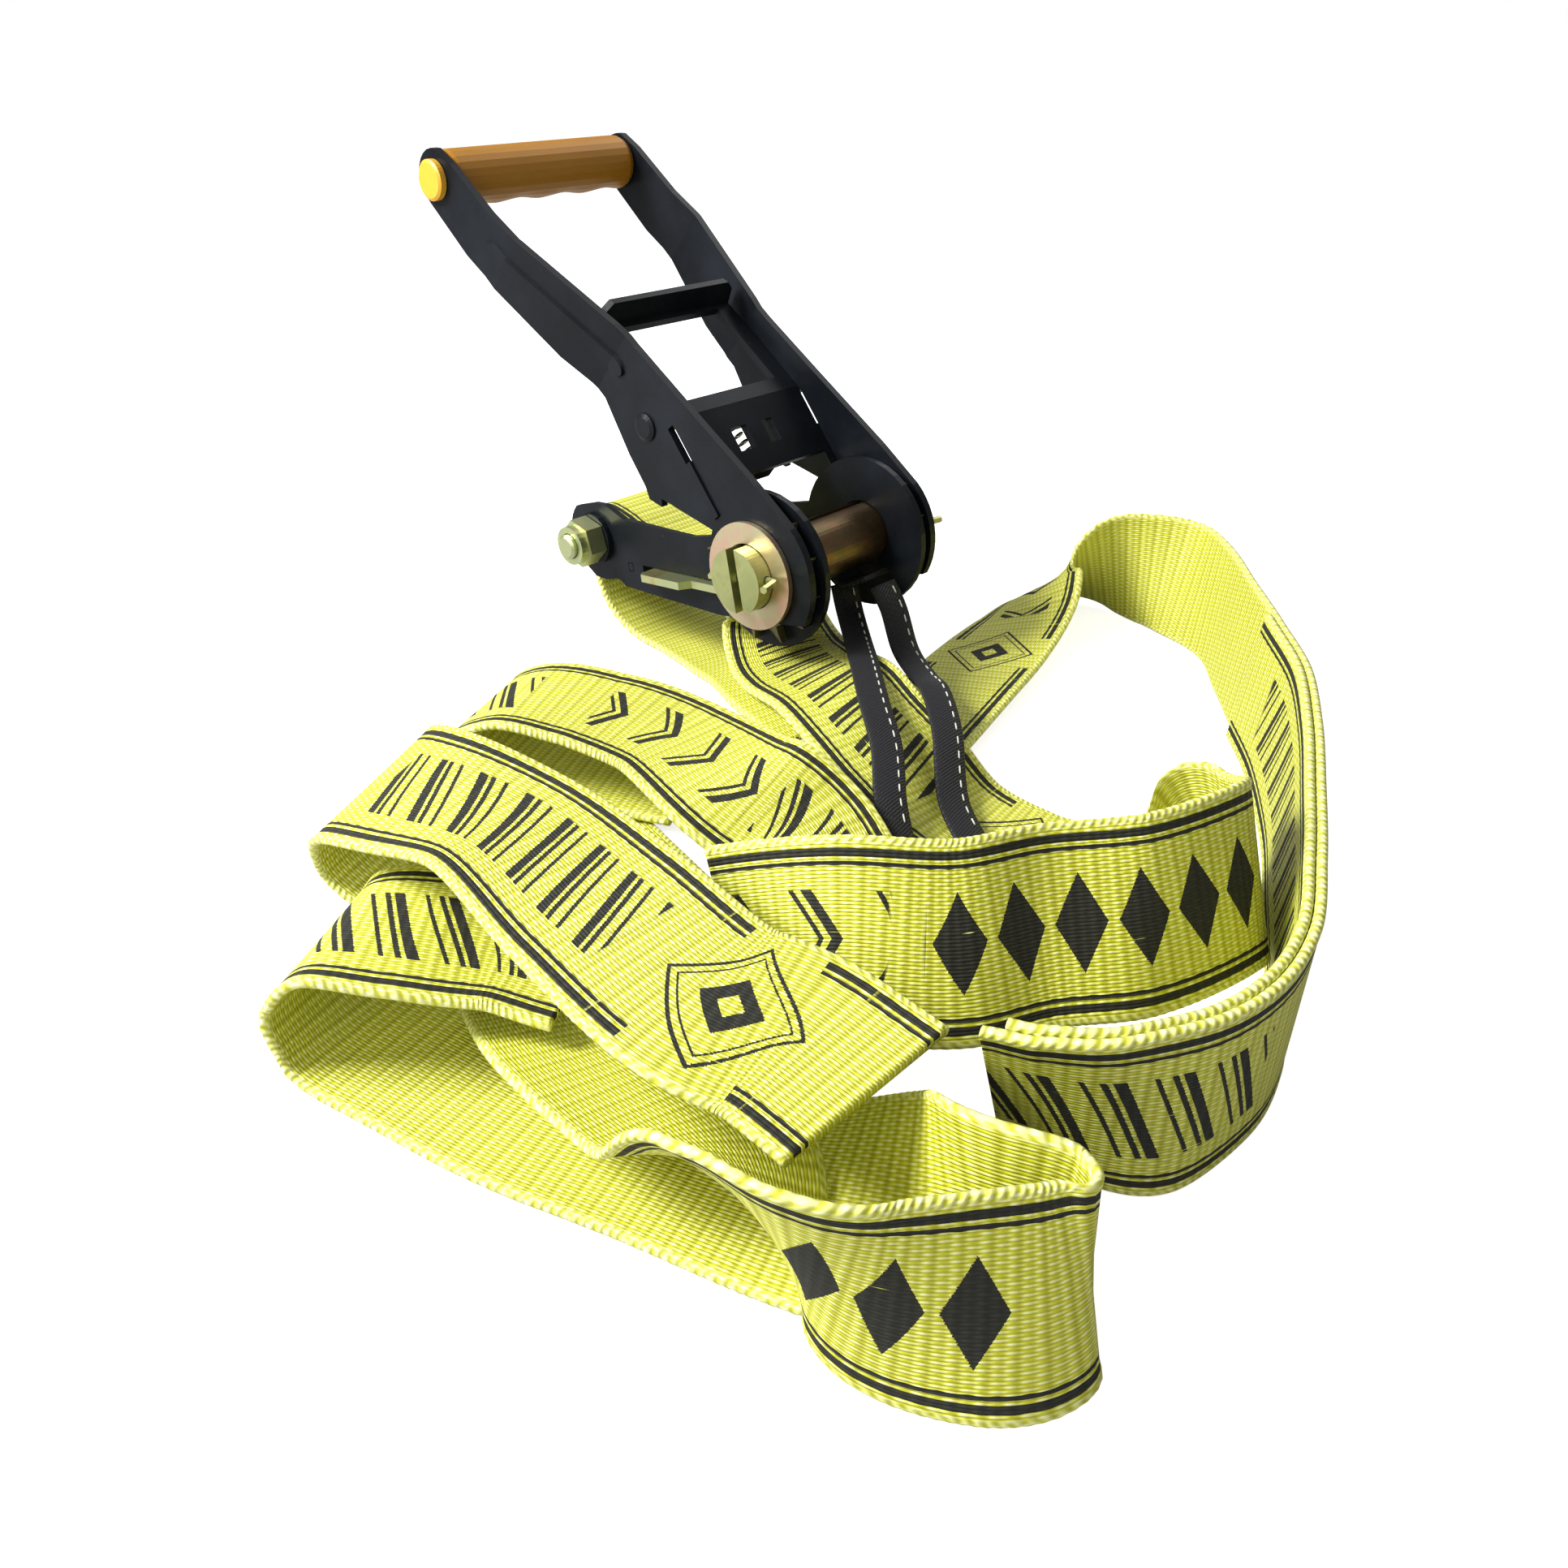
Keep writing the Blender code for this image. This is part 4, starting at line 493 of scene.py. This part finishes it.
# ribbons
# each row of a route: a point of the strap's middle, then the direction across it, from the drum's middle
tailRoute = [
    (-0.0450, -0.0520, -0.0378, 0.95, -0.30, 0.10), (-0.0325, -0.0180, -0.0410, 0.94, -0.33, 0.10),
    (-0.0180, 0.0100, -0.0460, 0.97, -0.25, 0.05), (-0.0070, 0.0360, -0.0520, 1.00, -0.10, 0.00),
    (-0.0010, 0.0600, -0.0537, 1.00, -0.03, 0.00), (0.0000, 0.0840, -0.0515, 1.00, 0.00, 0.00),
    (0.0000, 0.0980, -0.0430, 1.00, 0.00, 0.00), (0.0000, 0.1060, -0.0260, 1.00, 0.00, 0.00),
    (0.0000, 0.1082, -0.0118, 1.00, 0.00, 0.00), (0.0000, 0.1053, -0.0040, 1.00, 0.00, 0.00),
    (0.0000, 0.0980, -0.0008, 1.00, 0.00, 0.00), (0.0000, 0.0860, -0.0024, 1.00, 0.00, 0.00),
    (0.0000, 0.0680, -0.0085, 1.00, 0.00, 0.00), (0.0000, 0.0420, -0.0082, 1.00, 0.00, 0.00),
    (0.0000, 0.0310, -0.0130, 1.00, 0.00, 0.00), (0.0000, 0.0260, -0.0250, 1.00, 0.00, 0.00),
    (-0.0015, 0.0195, -0.0345, 1.00, -0.03, 0.00), (-0.0105, 0.0060, -0.0395, 0.98, -0.20, 0.03),
    (-0.0260, -0.0170, -0.0355, 0.94, -0.33, 0.10), (-0.0370, -0.0420, -0.0305, 0.95, -0.30, 0.10),
    (-0.0440, -0.0620, -0.0338, 0.97, -0.25, 0.06), (-0.0480, -0.0800, -0.0395, 0.98, -0.15, 0.10),
    (-0.0520, -0.1060, -0.0492, 1.00, -0.05, 0.00), (-0.0490, -0.1320, -0.0530, 0.99, 0.15, 0.00),
    (-0.0410, -0.1570, -0.0460, 0.89, 0.31, -0.35), (-0.0320, -0.1800, -0.0360, 0.41, 0.15, -0.90),
    (-0.0450, -0.1990, -0.0285, -0.05, -0.25, -0.97), (-0.0705, -0.2116, -0.0145, -0.18, -0.37, -0.91),
    (-0.1050, -0.2030, -0.0125, -0.47, -0.25, -0.85), (-0.1255, -0.1860, -0.0135, -0.46, -0.30, -0.83),
    (-0.1460, -0.1750, -0.0130, -0.45, -0.32, -0.84), (-0.1630, -0.1520, -0.0140, -0.40, -0.25, -0.88),
    (-0.1700, -0.1220, -0.0260, -0.15, -0.05, -0.99)]
middleRoute = [
    (-0.1097, -0.1015, -0.0430, -0.93, 0.36, 0.00), (-0.1055, -0.0860, -0.0375, -0.93, 0.36, -0.10),
    (-0.1080, -0.0645, -0.0305, -0.89, 0.42, -0.18), (-0.1035, -0.0270, -0.0290, -0.97, 0.24, 0.00),
    (-0.1120, 0.0020, -0.0255, -0.99, -0.10, 0.00), (-0.1240, 0.0260, -0.0250, -0.91, -0.41, 0.00),
    (-0.1310, 0.0390, -0.0340, -0.91, -0.42, 0.00), (-0.1270, 0.0330, -0.0465, -0.91, -0.42, 0.00),
    (-0.1200, 0.0180, -0.0498, -0.92, -0.38, 0.00), (-0.1120, 0.0020, -0.0500, -0.93, -0.36, 0.00),
    (-0.1030, -0.0160, -0.0500, -0.94, -0.33, 0.00), (-0.0960, -0.0320, -0.0500, -0.94, -0.33, 0.00)]
lowRoute = [
    (-0.1240, 0.0300, -0.0537, -0.95, 0.30, 0.00), (-0.1340, 0.0020, -0.0537, -0.96, 0.28, 0.00),
    (-0.1420, -0.0260, -0.0537, -0.97, 0.25, 0.00), (-0.1500, -0.0580, -0.0537, -0.97, 0.25, 0.00),
    (-0.1580, -0.0900, -0.0537, -0.97, 0.25, 0.00)]
ringRoute = [
    (-0.0500, -0.0670, -0.0525, -0.20, 0.98, -0.06), (-0.0150, -0.0600, -0.0518, -0.20, 0.97, -0.12),
    (0.0200, -0.0520, -0.0515, -0.18, 0.97, -0.15), (0.0570, -0.0440, -0.0505, -0.08, 0.98, -0.20),
    (0.0885, -0.0380, -0.0465, 0.06, 0.93, -0.36), (0.1150, -0.0330, -0.0390, 0.25, 0.74, -0.62),
    (0.1310, -0.0465, -0.0320, 0.20, 0.45, -0.87), (0.1370, -0.0660, -0.0300, 0.00, 0.05, -1.00),
    (0.1367, -0.0840, -0.0300, -0.25, -0.05, -0.97), (0.1240, -0.1040, -0.0298, -0.08, 0.02, -1.00),
    (0.0980, -0.1260, -0.0302, 0.16, 0.24, -0.96), (0.0710, -0.1480, -0.0310, 0.20, 0.30, -0.93),
    (0.0420, -0.1710, -0.0306, 0.15, 0.25, -0.96), (0.0080, -0.1910, -0.0298, 0.05, 0.12, -0.99),
    (-0.0276, -0.2082, -0.0297, 0.03, 0.08, -1.00), (-0.0616, -0.2242, -0.0297, 0.05, 0.05, -1.00),
    (-0.0916, -0.2363, -0.0298, 0.08, 0.04, -1.00), (-0.1160, -0.2395, -0.0299, 0.06, 0.02, -1.00),
    (-0.1415, -0.2340, -0.0301, -0.10, 0.04, -0.99), (-0.1550, -0.2220, -0.0303, 0.10, 0.10, -0.99),
    (-0.1605, -0.2080, -0.0305, 0.25, 0.25, -0.93), (-0.1630, -0.1980, -0.0308, 0.30, 0.30, -0.90)]
leftRoute = [
    (-0.1970, -0.0980, -0.0310, -0.86, -0.51, -0.05), (-0.2070, -0.0800, -0.0290, -0.84, -0.54, 0.00),
    (-0.2230, -0.0630, -0.0240, -0.86, -0.50, -0.05), (-0.2360, -0.0470, -0.0250, -0.86, -0.50, 0.00),
    (-0.2410, -0.0410, -0.0370, -0.86, -0.50, 0.00), (-0.2390, -0.0490, -0.0500, -0.88, -0.48, 0.00),
    (-0.2330, -0.0730, -0.0537, -0.95, -0.30, 0.00), (-0.2250, -0.1100, -0.0537, -0.97, -0.25, 0.00),
    (-0.2130, -0.1480, -0.0530, -0.97, -0.25, -0.02), (-0.2060, -0.1760, -0.0475, -0.93, -0.30, -0.22),
    (-0.2000, -0.2020, -0.0380, -0.70, -0.28, -0.65), (-0.1960, -0.2210, -0.0300, -0.10, -0.12, -0.98),
    (-0.1905, -0.2350, -0.0300, -0.04, -0.10, -0.99), (-0.1940, -0.2420, -0.0300, -0.12, -0.20, -0.97),
    (-0.2020, -0.2405, -0.0303, -0.16, -0.26, -0.95), (-0.2130, -0.2325, -0.0300, -0.16, -0.26, -0.95),
    (-0.2255, -0.2160, -0.0297, -0.05, -0.05, -1.00), (-0.2300, -0.2000, -0.0270, 0.25, 0.06, -0.96),
    (-0.2260, -0.1830, -0.0265, 0.62, 0.12, -0.77), (-0.2155, -0.1575, -0.0340, 0.91, 0.30, -0.28),
    (-0.2090, -0.1120, -0.0415, 0.93, 0.24, -0.26), (-0.1955, -0.0780, -0.0500, 0.95, 0.24, -0.17)]
crossRoute = [
    (-0.1840, -0.0440, -0.0508, 0.99, -0.10, 0.00), (-0.1880, -0.0160, -0.0475, 0.99, 0.10, 0.05),
    (-0.1940, 0.0010, -0.0330, 0.94, 0.13, 0.31), (-0.1990, -0.0070, -0.0150, 0.93, 0.10, 0.34),
    (-0.2000, -0.0300, -0.0060, 0.96, 0.05, 0.26), (-0.1945, -0.0645, -0.0045, 0.99, 0.10, 0.02),
    (-0.1995, -0.1085, -0.0065, 0.99, 0.02, 0.14), (-0.2025, -0.1475, -0.0100, 0.99, 0.02, 0.12),
    (-0.1975, -0.1680, -0.0125, 0.99, -0.08, 0.12), (-0.1975, -0.1820, -0.0135, 0.98, -0.15, 0.10),
    (-0.1980, -0.1910, -0.0140, 0.97, -0.20, 0.10)]
strapLeftRoute = [
    (0.0120, -0.0030, -0.0165, 0.75, -0.66, 0.0), (0.0095, -0.0080, -0.0245, 0.75, -0.66, 0.0),
    (-0.0020, -0.0220, -0.0290, 0.80, -0.60, 0.0), (-0.0260, -0.0460, -0.0250, 0.75, -0.66, 0.0),
    (-0.0450, -0.0660, -0.0255, 0.75, -0.66, 0.0), (-0.0590, -0.0830, -0.0305, 0.80, -0.60, 0.0),
    (-0.0750, -0.0980, -0.0379, 0.85, -0.53, 0.0), (-0.0822, -0.1070, -0.0446, 0.85, -0.53, 0.0)]
strapRightRoute = [
    (0.0140, -0.0205, -0.0125, 0.80, -0.60, 0.0), (0.0130, -0.0270, -0.0200, 0.80, -0.60, 0.0),
    (0.0060, -0.0390, -0.0310, 0.80, -0.60, 0.0), (-0.0060, -0.0570, -0.0325, 0.80, -0.60, 0.0),
    (-0.0172, -0.0706, -0.0290, 0.80, -0.60, 0.0), (-0.0330, -0.0880, -0.0325, 0.85, -0.53, 0.0),
    (-0.0520, -0.1060, -0.0446, 0.90, -0.44, 0.0), (-0.0620, -0.1210, -0.0488, 0.90, -0.44, 0.0)]
strapBridgeRoute = [
    (0.0130, 0.0005, 0.0025, 1.0, 0.0, 0.0), (0.0130, -0.0008, -0.0045, 1.0, 0.0, 0.0),
    (0.0130, -0.0022, -0.0115, 1.0, 0.0, 0.0), (0.0130, -0.0060, -0.0145, 1.0, 0.0, 0.0),
    (0.0132, -0.0125, -0.0120, 1.0, 0.0, 0.0), (0.0136, -0.0180, -0.0090, 1.0, 0.0, 0.0)]

routeSet = {"steps": 60, "fewest": 8, "floorGap": 0.0001}


def smoothRoute(rows, spacing):
    # Hermite curve through the rows; each tangent comes from its neighbours by centripetal knots
    # then points evenly spaced along it, their place along the route, and their place counted in rows
    rows = np.array(rows, float)
    steps = np.linalg.norm(np.diff(rows[:, :3], axis=0), axis=1)
    knots = np.concatenate([[0], np.cumsum(np.sqrt(steps))])
    points = np.vstack([rows[0] * 2 - rows[1], rows, rows[-1] * 2 - rows[-2]])
    times = np.concatenate([[-knots[1]], knots, [knots[-1] * 2 - knots[-2]]])
    p0, p1, p2, p3 = points[:-3], points[1:-2], points[2:-1], points[3:]
    t0, t1, t2, t3 = (times[k:len(times) - 3 + k, None] for k in range(4))
    leave = ((p1 - p0) / (t1 - t0) - (p2 - p0) / (t2 - t0) + (p2 - p1) / (t2 - t1)) * (t2 - t1)
    reach = ((p2 - p1) / (t2 - t1) - (p3 - p1) / (t3 - t1) + (p3 - p2) / (t3 - t2)) * (t2 - t1)
    fine = np.linspace(0, 1, routeSet["steps"], endpoint=False)[None, :, None]
    curve = (2 * fine**3 - 3 * fine**2 + 1) * p1[:, None] + (fine**3 - 2 * fine**2 + fine) * leave[:, None]
    curve = curve + (3 * fine**2 - 2 * fine**3) * p2[:, None] + (fine**3 - fine**2) * reach[:, None]
    curve = np.vstack([curve.reshape(-1, 6), rows[-1]])
    marks = np.linspace(0, len(rows) - 1, len(curve))
    lengths = np.concatenate([[0], np.cumsum(np.linalg.norm(np.diff(curve[:, :3], axis=0), axis=1))])
    count = max(routeSet["fewest"], int(round(lengths[-1] / spacing)) + 1)
    places = np.linspace(0, lengths[-1], count)
    fresh = np.stack([np.interp(places, lengths, curve[:, k]) for k in range(6)], axis=1)
    return fresh, places, np.interp(places, lengths, marks)


def stripFrames(rows, shape, onFloor=True):
    # frames along a route: across is made square to the travel, and normal = travel x across
    curve, places, marks = smoothRoute(rows, shape["spacing"])
    middle = curve[:, :3] + drumMiddle
    travel = np.gradient(middle, axis=0)
    travel /= np.linalg.norm(travel, axis=1)[:, None]
    across = curve[:, 3:] - (curve[:, 3:] * travel).sum(axis=1)[:, None] * travel
    across /= np.linalg.norm(across, axis=1)[:, None]
    normal = np.cross(travel, across)
    if onFloor:
        low = middle[:, 2] - np.abs(across[:, 2]) * shape["width"] / 2
        low = low - np.abs(normal[:, 2]) * shape["thickness"] / 2
        middle[:, 2] += np.maximum(0, routeSet["floorGap"] - low)
    return {"middle": middle, "across": across, "normal": normal, "places": places, "marks": marks}


def stretchOf(frames, low, high, lift):
    # what lies between two rows of a route, moved along its normal
    keep = (frames["marks"] >= low) & (frames["marks"] <= high)
    stretch = {key: values[keep] for key, values in frames.items()}
    stretch["middle"] = stretch["middle"] + stretch["normal"] * lift
    return stretch


def pathOf(frames):
    # every fourth point of the middle, and the last
    middle = frames["middle"]
    return middle[::4].tolist() + [middle[-1].tolist()]


def tubeFaces(rows, count, copies=1):
    # quads between neighbouring rings and the two end faces, once for each copy of the tube
    # they point outwards where each ring turns from across to normal
    grid = np.arange(rows * count).reshape(rows, count)
    beside = np.roll(grid, -1, axis=1)
    quads = np.stack([grid[:-1], beside[:-1], beside[1:], grid[1:]], axis=-1).reshape(-1, 4)
    ends = np.stack([grid[0][::-1], grid[-1]])
    firsts = np.arange(copies)[:, None, None] * rows * count
    return (quads + firsts).reshape(-1, 4).tolist() + (ends + firsts).reshape(-1, count).tolist()


def pieceFrom(name, verts, faces, material, body):
    mesh = bpy.data.meshes.new(name)
    mesh.from_pydata(verts.tolist(), [], faces)
    mesh.materials.append(material)
    mesh.polygons.foreach_set("use_smooth", np.ones(len(mesh.polygons), bool))
    mesh.update()
    piece = bpy.data.objects.new(name, mesh)
    bpy.context.scene.collection.objects.link(piece)
    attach(piece, body)
    return piece


def stadium(width, thickness, lanes, rounding=4):
    # closed cross-section: flat above, round edge, flat below, round edge, from normal towards across
    flat = width / 2 - thickness / 2
    lane = np.linspace(-flat, flat, lanes)
    turn = np.linspace(0, np.pi, rounding + 2)[1:-1]
    upper = np.stack([lane, np.full(lanes, thickness / 2)], axis=1)
    right = np.stack([flat + np.sin(turn) * thickness / 2, np.cos(turn) * thickness / 2], axis=1)
    lower = np.stack([lane[::-1], np.full(lanes, -thickness / 2)], axis=1)
    left = np.stack([-flat - np.sin(turn) * thickness / 2, -np.cos(turn) * thickness / 2], axis=1)
    return np.vstack([upper, right, lower, left])


printKinds = ("diamonds", "bars", "chevrons", "lozenges")


def addPattern(piece, side, up, places, printed, windows):
    # strip: across, along, 1 on the printed side; motif: along from a print's zero, diamonds
    # shown: bars, chevrons, lozenges; a window: kind, from, to, zero of its own measure, in metres
    along, kinds = np.zeros_like(places), np.zeros((len(places), len(printKinds)))
    for kind, low, high, zero in windows:
        inside = (places >= low) & (places <= high)
        along[inside] = places[inside] - zero
        kinds[inside, printKinds.index(kind)] = 1
    strip = np.stack([side, np.broadcast_to(places[:, None], side.shape), up * printed > 0], axis=-1)
    motif = np.stack([along, kinds[:, 0], np.zeros_like(places)], axis=-1)
    for key, data in (("strip", strip), ("motif", motif[:, None]), ("shown", kinds[:, None, 1:])):
        layer = piece.data.attributes.new(key, "FLOAT_VECTOR", "POINT")
        data = np.broadcast_to(data, strip.shape)
        layer.data.foreach_set("vector", np.ascontiguousarray(data, dtype=np.float32).ravel())


def ribbon(name, frames, shape, printed, windows, material, body):
    # closed ribbon: the cross-section is carried along the route, point = middle + across * a + normal * b
    # an edge band swells to a bead and waves in and out, and a crown makes the middle thicker
    middle, across, normal, places = (frames[key] for key in ("middle", "across", "normal", "places"))
    ring = stadium(shape["width"], shape["thickness"], shape["lanes"])
    side, up = (np.tile(ring[:, k], (len(places), 1)) for k in range(2))
    edge = np.clip((np.abs(side) - (shape["width"] / 2 - shape["edge"])) / shape["edge"], 0, 1)
    beat = np.sin(places / clothSet["edgeRoll"] * 2 * np.pi)[:, None]
    side = side + np.sign(side) * edge * beat * shape["scallop"]
    crown = 1 - (side / shape["width"] * 2) ** 2
    swell = 1 + edge * (1 - edge) * shape["bead"] + crown * shape["crown"]
    verts = middle[:, None] + across[:, None] * side[:, :, None] + normal[:, None] * (up * swell)[:, :, None]
    faces = [face[::-1] for face in tubeFaces(len(places), len(ring))]  # the ring turns the other way
    piece = pieceFrom(name, verts.reshape(-1, 3), faces, material, body)
    addPattern(piece, side, up, places, printed, windows)
    return piece


# webbing
webSet = {"width": 0.0496, "thickness": 0.0022, "spacing": 0.00115, "lanes": 23, "edge": 0.0016,
          "scallop": 0.00012, "bead": 1.2, "crown": 0.0, "realWidth": 0.05}
# name: route, windows of print, the solids it stands for
webPieces = {
    "webTail": (tailRoute,
                [("lozenges", 0.130, 0.190, 0.130), ("bars", 0.290, 0.440, 0.0),
                 ("diamonds", 0.452, 0.496, 0.474), ("chevrons", 0.505, 0.560, 0.500),
                 ("lozenges", 0.586, 0.682, 0.586), ("chevrons", 0.690, 0.735, 0.688)],
                ("web_sewn_lap", "web_bolt_loop", "web_loop_top", "web_floor_run", "web_twist_up",
                 "web_front_band")),
    "webMiddle": (middleRoute,
                  [("bars", 0.0, 0.028, 0.0), ("chevrons", 0.032, 0.105, 0.0), ("bars", 0.130, 0.250, 0.0)],
                  ("web_middle_fold", "web_middle_tuck")),
    "webLow": (lowRoute, [("bars", 0.010, 0.110, 0.0)], ("web_low_band",)),
    "webRing": (ringRoute,
                [("diamonds", 0.086, 0.130, 0.108), ("chevrons", 0.140, 0.200, 0.0),
                 ("bars", 0.220, 0.330, 0.0), ("lozenges", 0.340, 0.430, 0.340),
                 ("chevrons", 0.440, 0.510, 0.440), ("bars", 0.535, 0.605, 0.0)],
                ("web_ring_rise", "web_ring_bend", "web_side_run", "web_end_bend")),
    "webLeft": (leftRoute,
                [("bars", 0.010, 0.100, 0.0), ("diamonds", 0.130, 0.174, 0.152),
                 ("chevrons", 0.190, 0.250, 0.190), ("lozenges", 0.318, 0.392, 0.318)],
                ("web_left_top", "web_left_roll", "web_left_run", "web_u_turn", "web_under_run")),
    "webCross": (crossRoute,
                 [("bars", 0.088, 0.192, 0.088), ("diamonds", 0.203, 0.245, 0.224)],
                 ("web_cross_roll", "web_cross_band"))}
# second layer along the ring's side: between two rows of the ring's route, moved along its normal,
# with the print on the side away from the ring
lapSet = {"rows": (11.0, 20.6), "lift": -0.0030, "windows": [("bars", 0.350, 0.600, 0.0)]}

webs, webFrames = {}, {}
for name, (route, windows, stands) in webPieces.items():
    webFrames[name] = stripFrames(route, webSet)
    webs[name] = ribbon(name, webFrames[name], webSet, 1, windows, finishes["webbing"], "base")
    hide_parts(*stands)
    print(name, "made,", round(float(webFrames[name]["places"][-1]), 3), "m")

lapFrames = stretchOf(webFrames["webRing"], *lapSet["rows"], lapSet["lift"])
lap = ribbon("webEndLap", lapFrames, webSet, -1, lapSet["windows"], finishes["webbing"], "base")
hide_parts("web_end_lap")

for name in ("webTail", "webRing", "webLeft"):
    frames = webFrames[name]
    pathOf(frames)

# black safety strap
strapSet = {"width": 0.0107, "thickness": 0.0015, "spacing": 0.0008, "lanes": 9, "edge": 0.0016,
            "scallop": 0.0, "bead": 0.0, "crown": 1.1, "realWidth": 0.0110}
bridgeSet = dict(strapSet, width=0.0147, thickness=0.0019, crown=0.0, realWidth=0.015)
strapPieces = {"strapLeft": (strapLeftRoute, "safety_strap_left"),
               "strapRight": (strapRightRoute, "safety_strap_right")}

strapFrames = {}
for name, (route, stands) in strapPieces.items():
    frames = strapFrames[name] = stripFrames(route, strapSet)
    piece = ribbon(name, frames, strapSet, 1, [], finishes["strap_black"], "base")
    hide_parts(stands)
    pathOf(frames)
bridgeFrames = stripFrames(strapBridgeRoute, bridgeSet, onFloor=False)
bridge = ribbon("strapBridge", bridgeFrames, bridgeSet, 1, [], finishes["strap_black"], "drum")
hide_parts("safety_strap_bridge")
print("straps made")

# white thread along the strap; swell: how much thicker the crowned strap is where the stitches lie
stitchSet = {"radius": 0.00028, "length": 0.0036, "gap": 0.0022, "endGap": 0.002, "across": 0.0030,
             "swell": 1.75, "sides": 6, "beads": 7}


def addStitches(name, frames):
    # short tubes in a row: height over the strap falls with share**4, so that both ends dip into it
    # ring point = line + (across * cos + normal * sin) * girth, and the girth narrows with share**6
    places, sides, beads = frames["places"], stitchSet["sides"], stitchSet["beads"]
    radius, length = stitchSet["radius"], stitchSet["length"]
    first, last = places[0] + stitchSet["endGap"], places[-1] - stitchSet["endGap"]
    starts = np.arange(first, last - length, length + stitchSet["gap"])
    along = starts[:, None] + np.linspace(0, 1, beads) * length
    middle, across, normal = (
        np.stack([np.interp(along, places, frames[key][:, k]) for k in range(3)], axis=-1)
        for key in ("middle", "across", "normal"))
    share = np.linspace(-1, 1, beads)[:, None]
    rise = strapSet["thickness"] * stitchSet["swell"] / 2 + radius * (0.35 - share**4 * 1.2)
    line = middle + across * stitchSet["across"] + normal * rise
    girth = radius * np.sqrt(np.clip(1.02 - share**6, 0.05, 1))[:, :, None]
    turn = (np.arange(sides) / sides * 2 * np.pi)[:, None]
    ring = across[:, :, None] * np.cos(turn) + normal[:, :, None] * np.sin(turn)
    verts = (line[:, :, None] + ring * girth).reshape(-1, 3)
    faces = tubeFaces(beads, sides, len(starts))
    return pieceFrom(name, verts, faces, finishes["thread"], "base")


for name, frames in strapFrames.items():
    addStitches(name + "Stitches", frames)
print("stitches made")

# coil springs: copies of the solids' own meshes; the share of each that a squash along its slide, towards its
# seat, would keep is worked out but not applied
springSet = {"pull_spring": ("pullSpring", "pull_pawl_slide", "handle"),
             "lock_spring": ("lockSpring", "lock_pawl_slide", "base")}
springClear = 0.0002
slides = {row["name"]: row for row in frame["joints"]}
for nodeName, (name, jointName, body) in springSet.items():
    coil, slide = nodes[nodeName].data, slides[jointName]
    verts = np.empty((len(coil.vertices), 3), np.float32)
    coil.vertices.foreach_get("co", verts.ravel())
    verts = verts.astype(float)
    faces = [tuple(face.vertices) for face in coil.polygons]
    piece = pieceFrom(name, verts, faces, finishes["spring_steel"], body)
    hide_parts(nodeName)
    axis = np.array(slide["axis"], float)
    height = verts @ axis
    keep = 1 - (slide["range_m"][1] + springClear) / (height.max() - height.min())
    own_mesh(piece)
print("springs made")

print("scene ready")
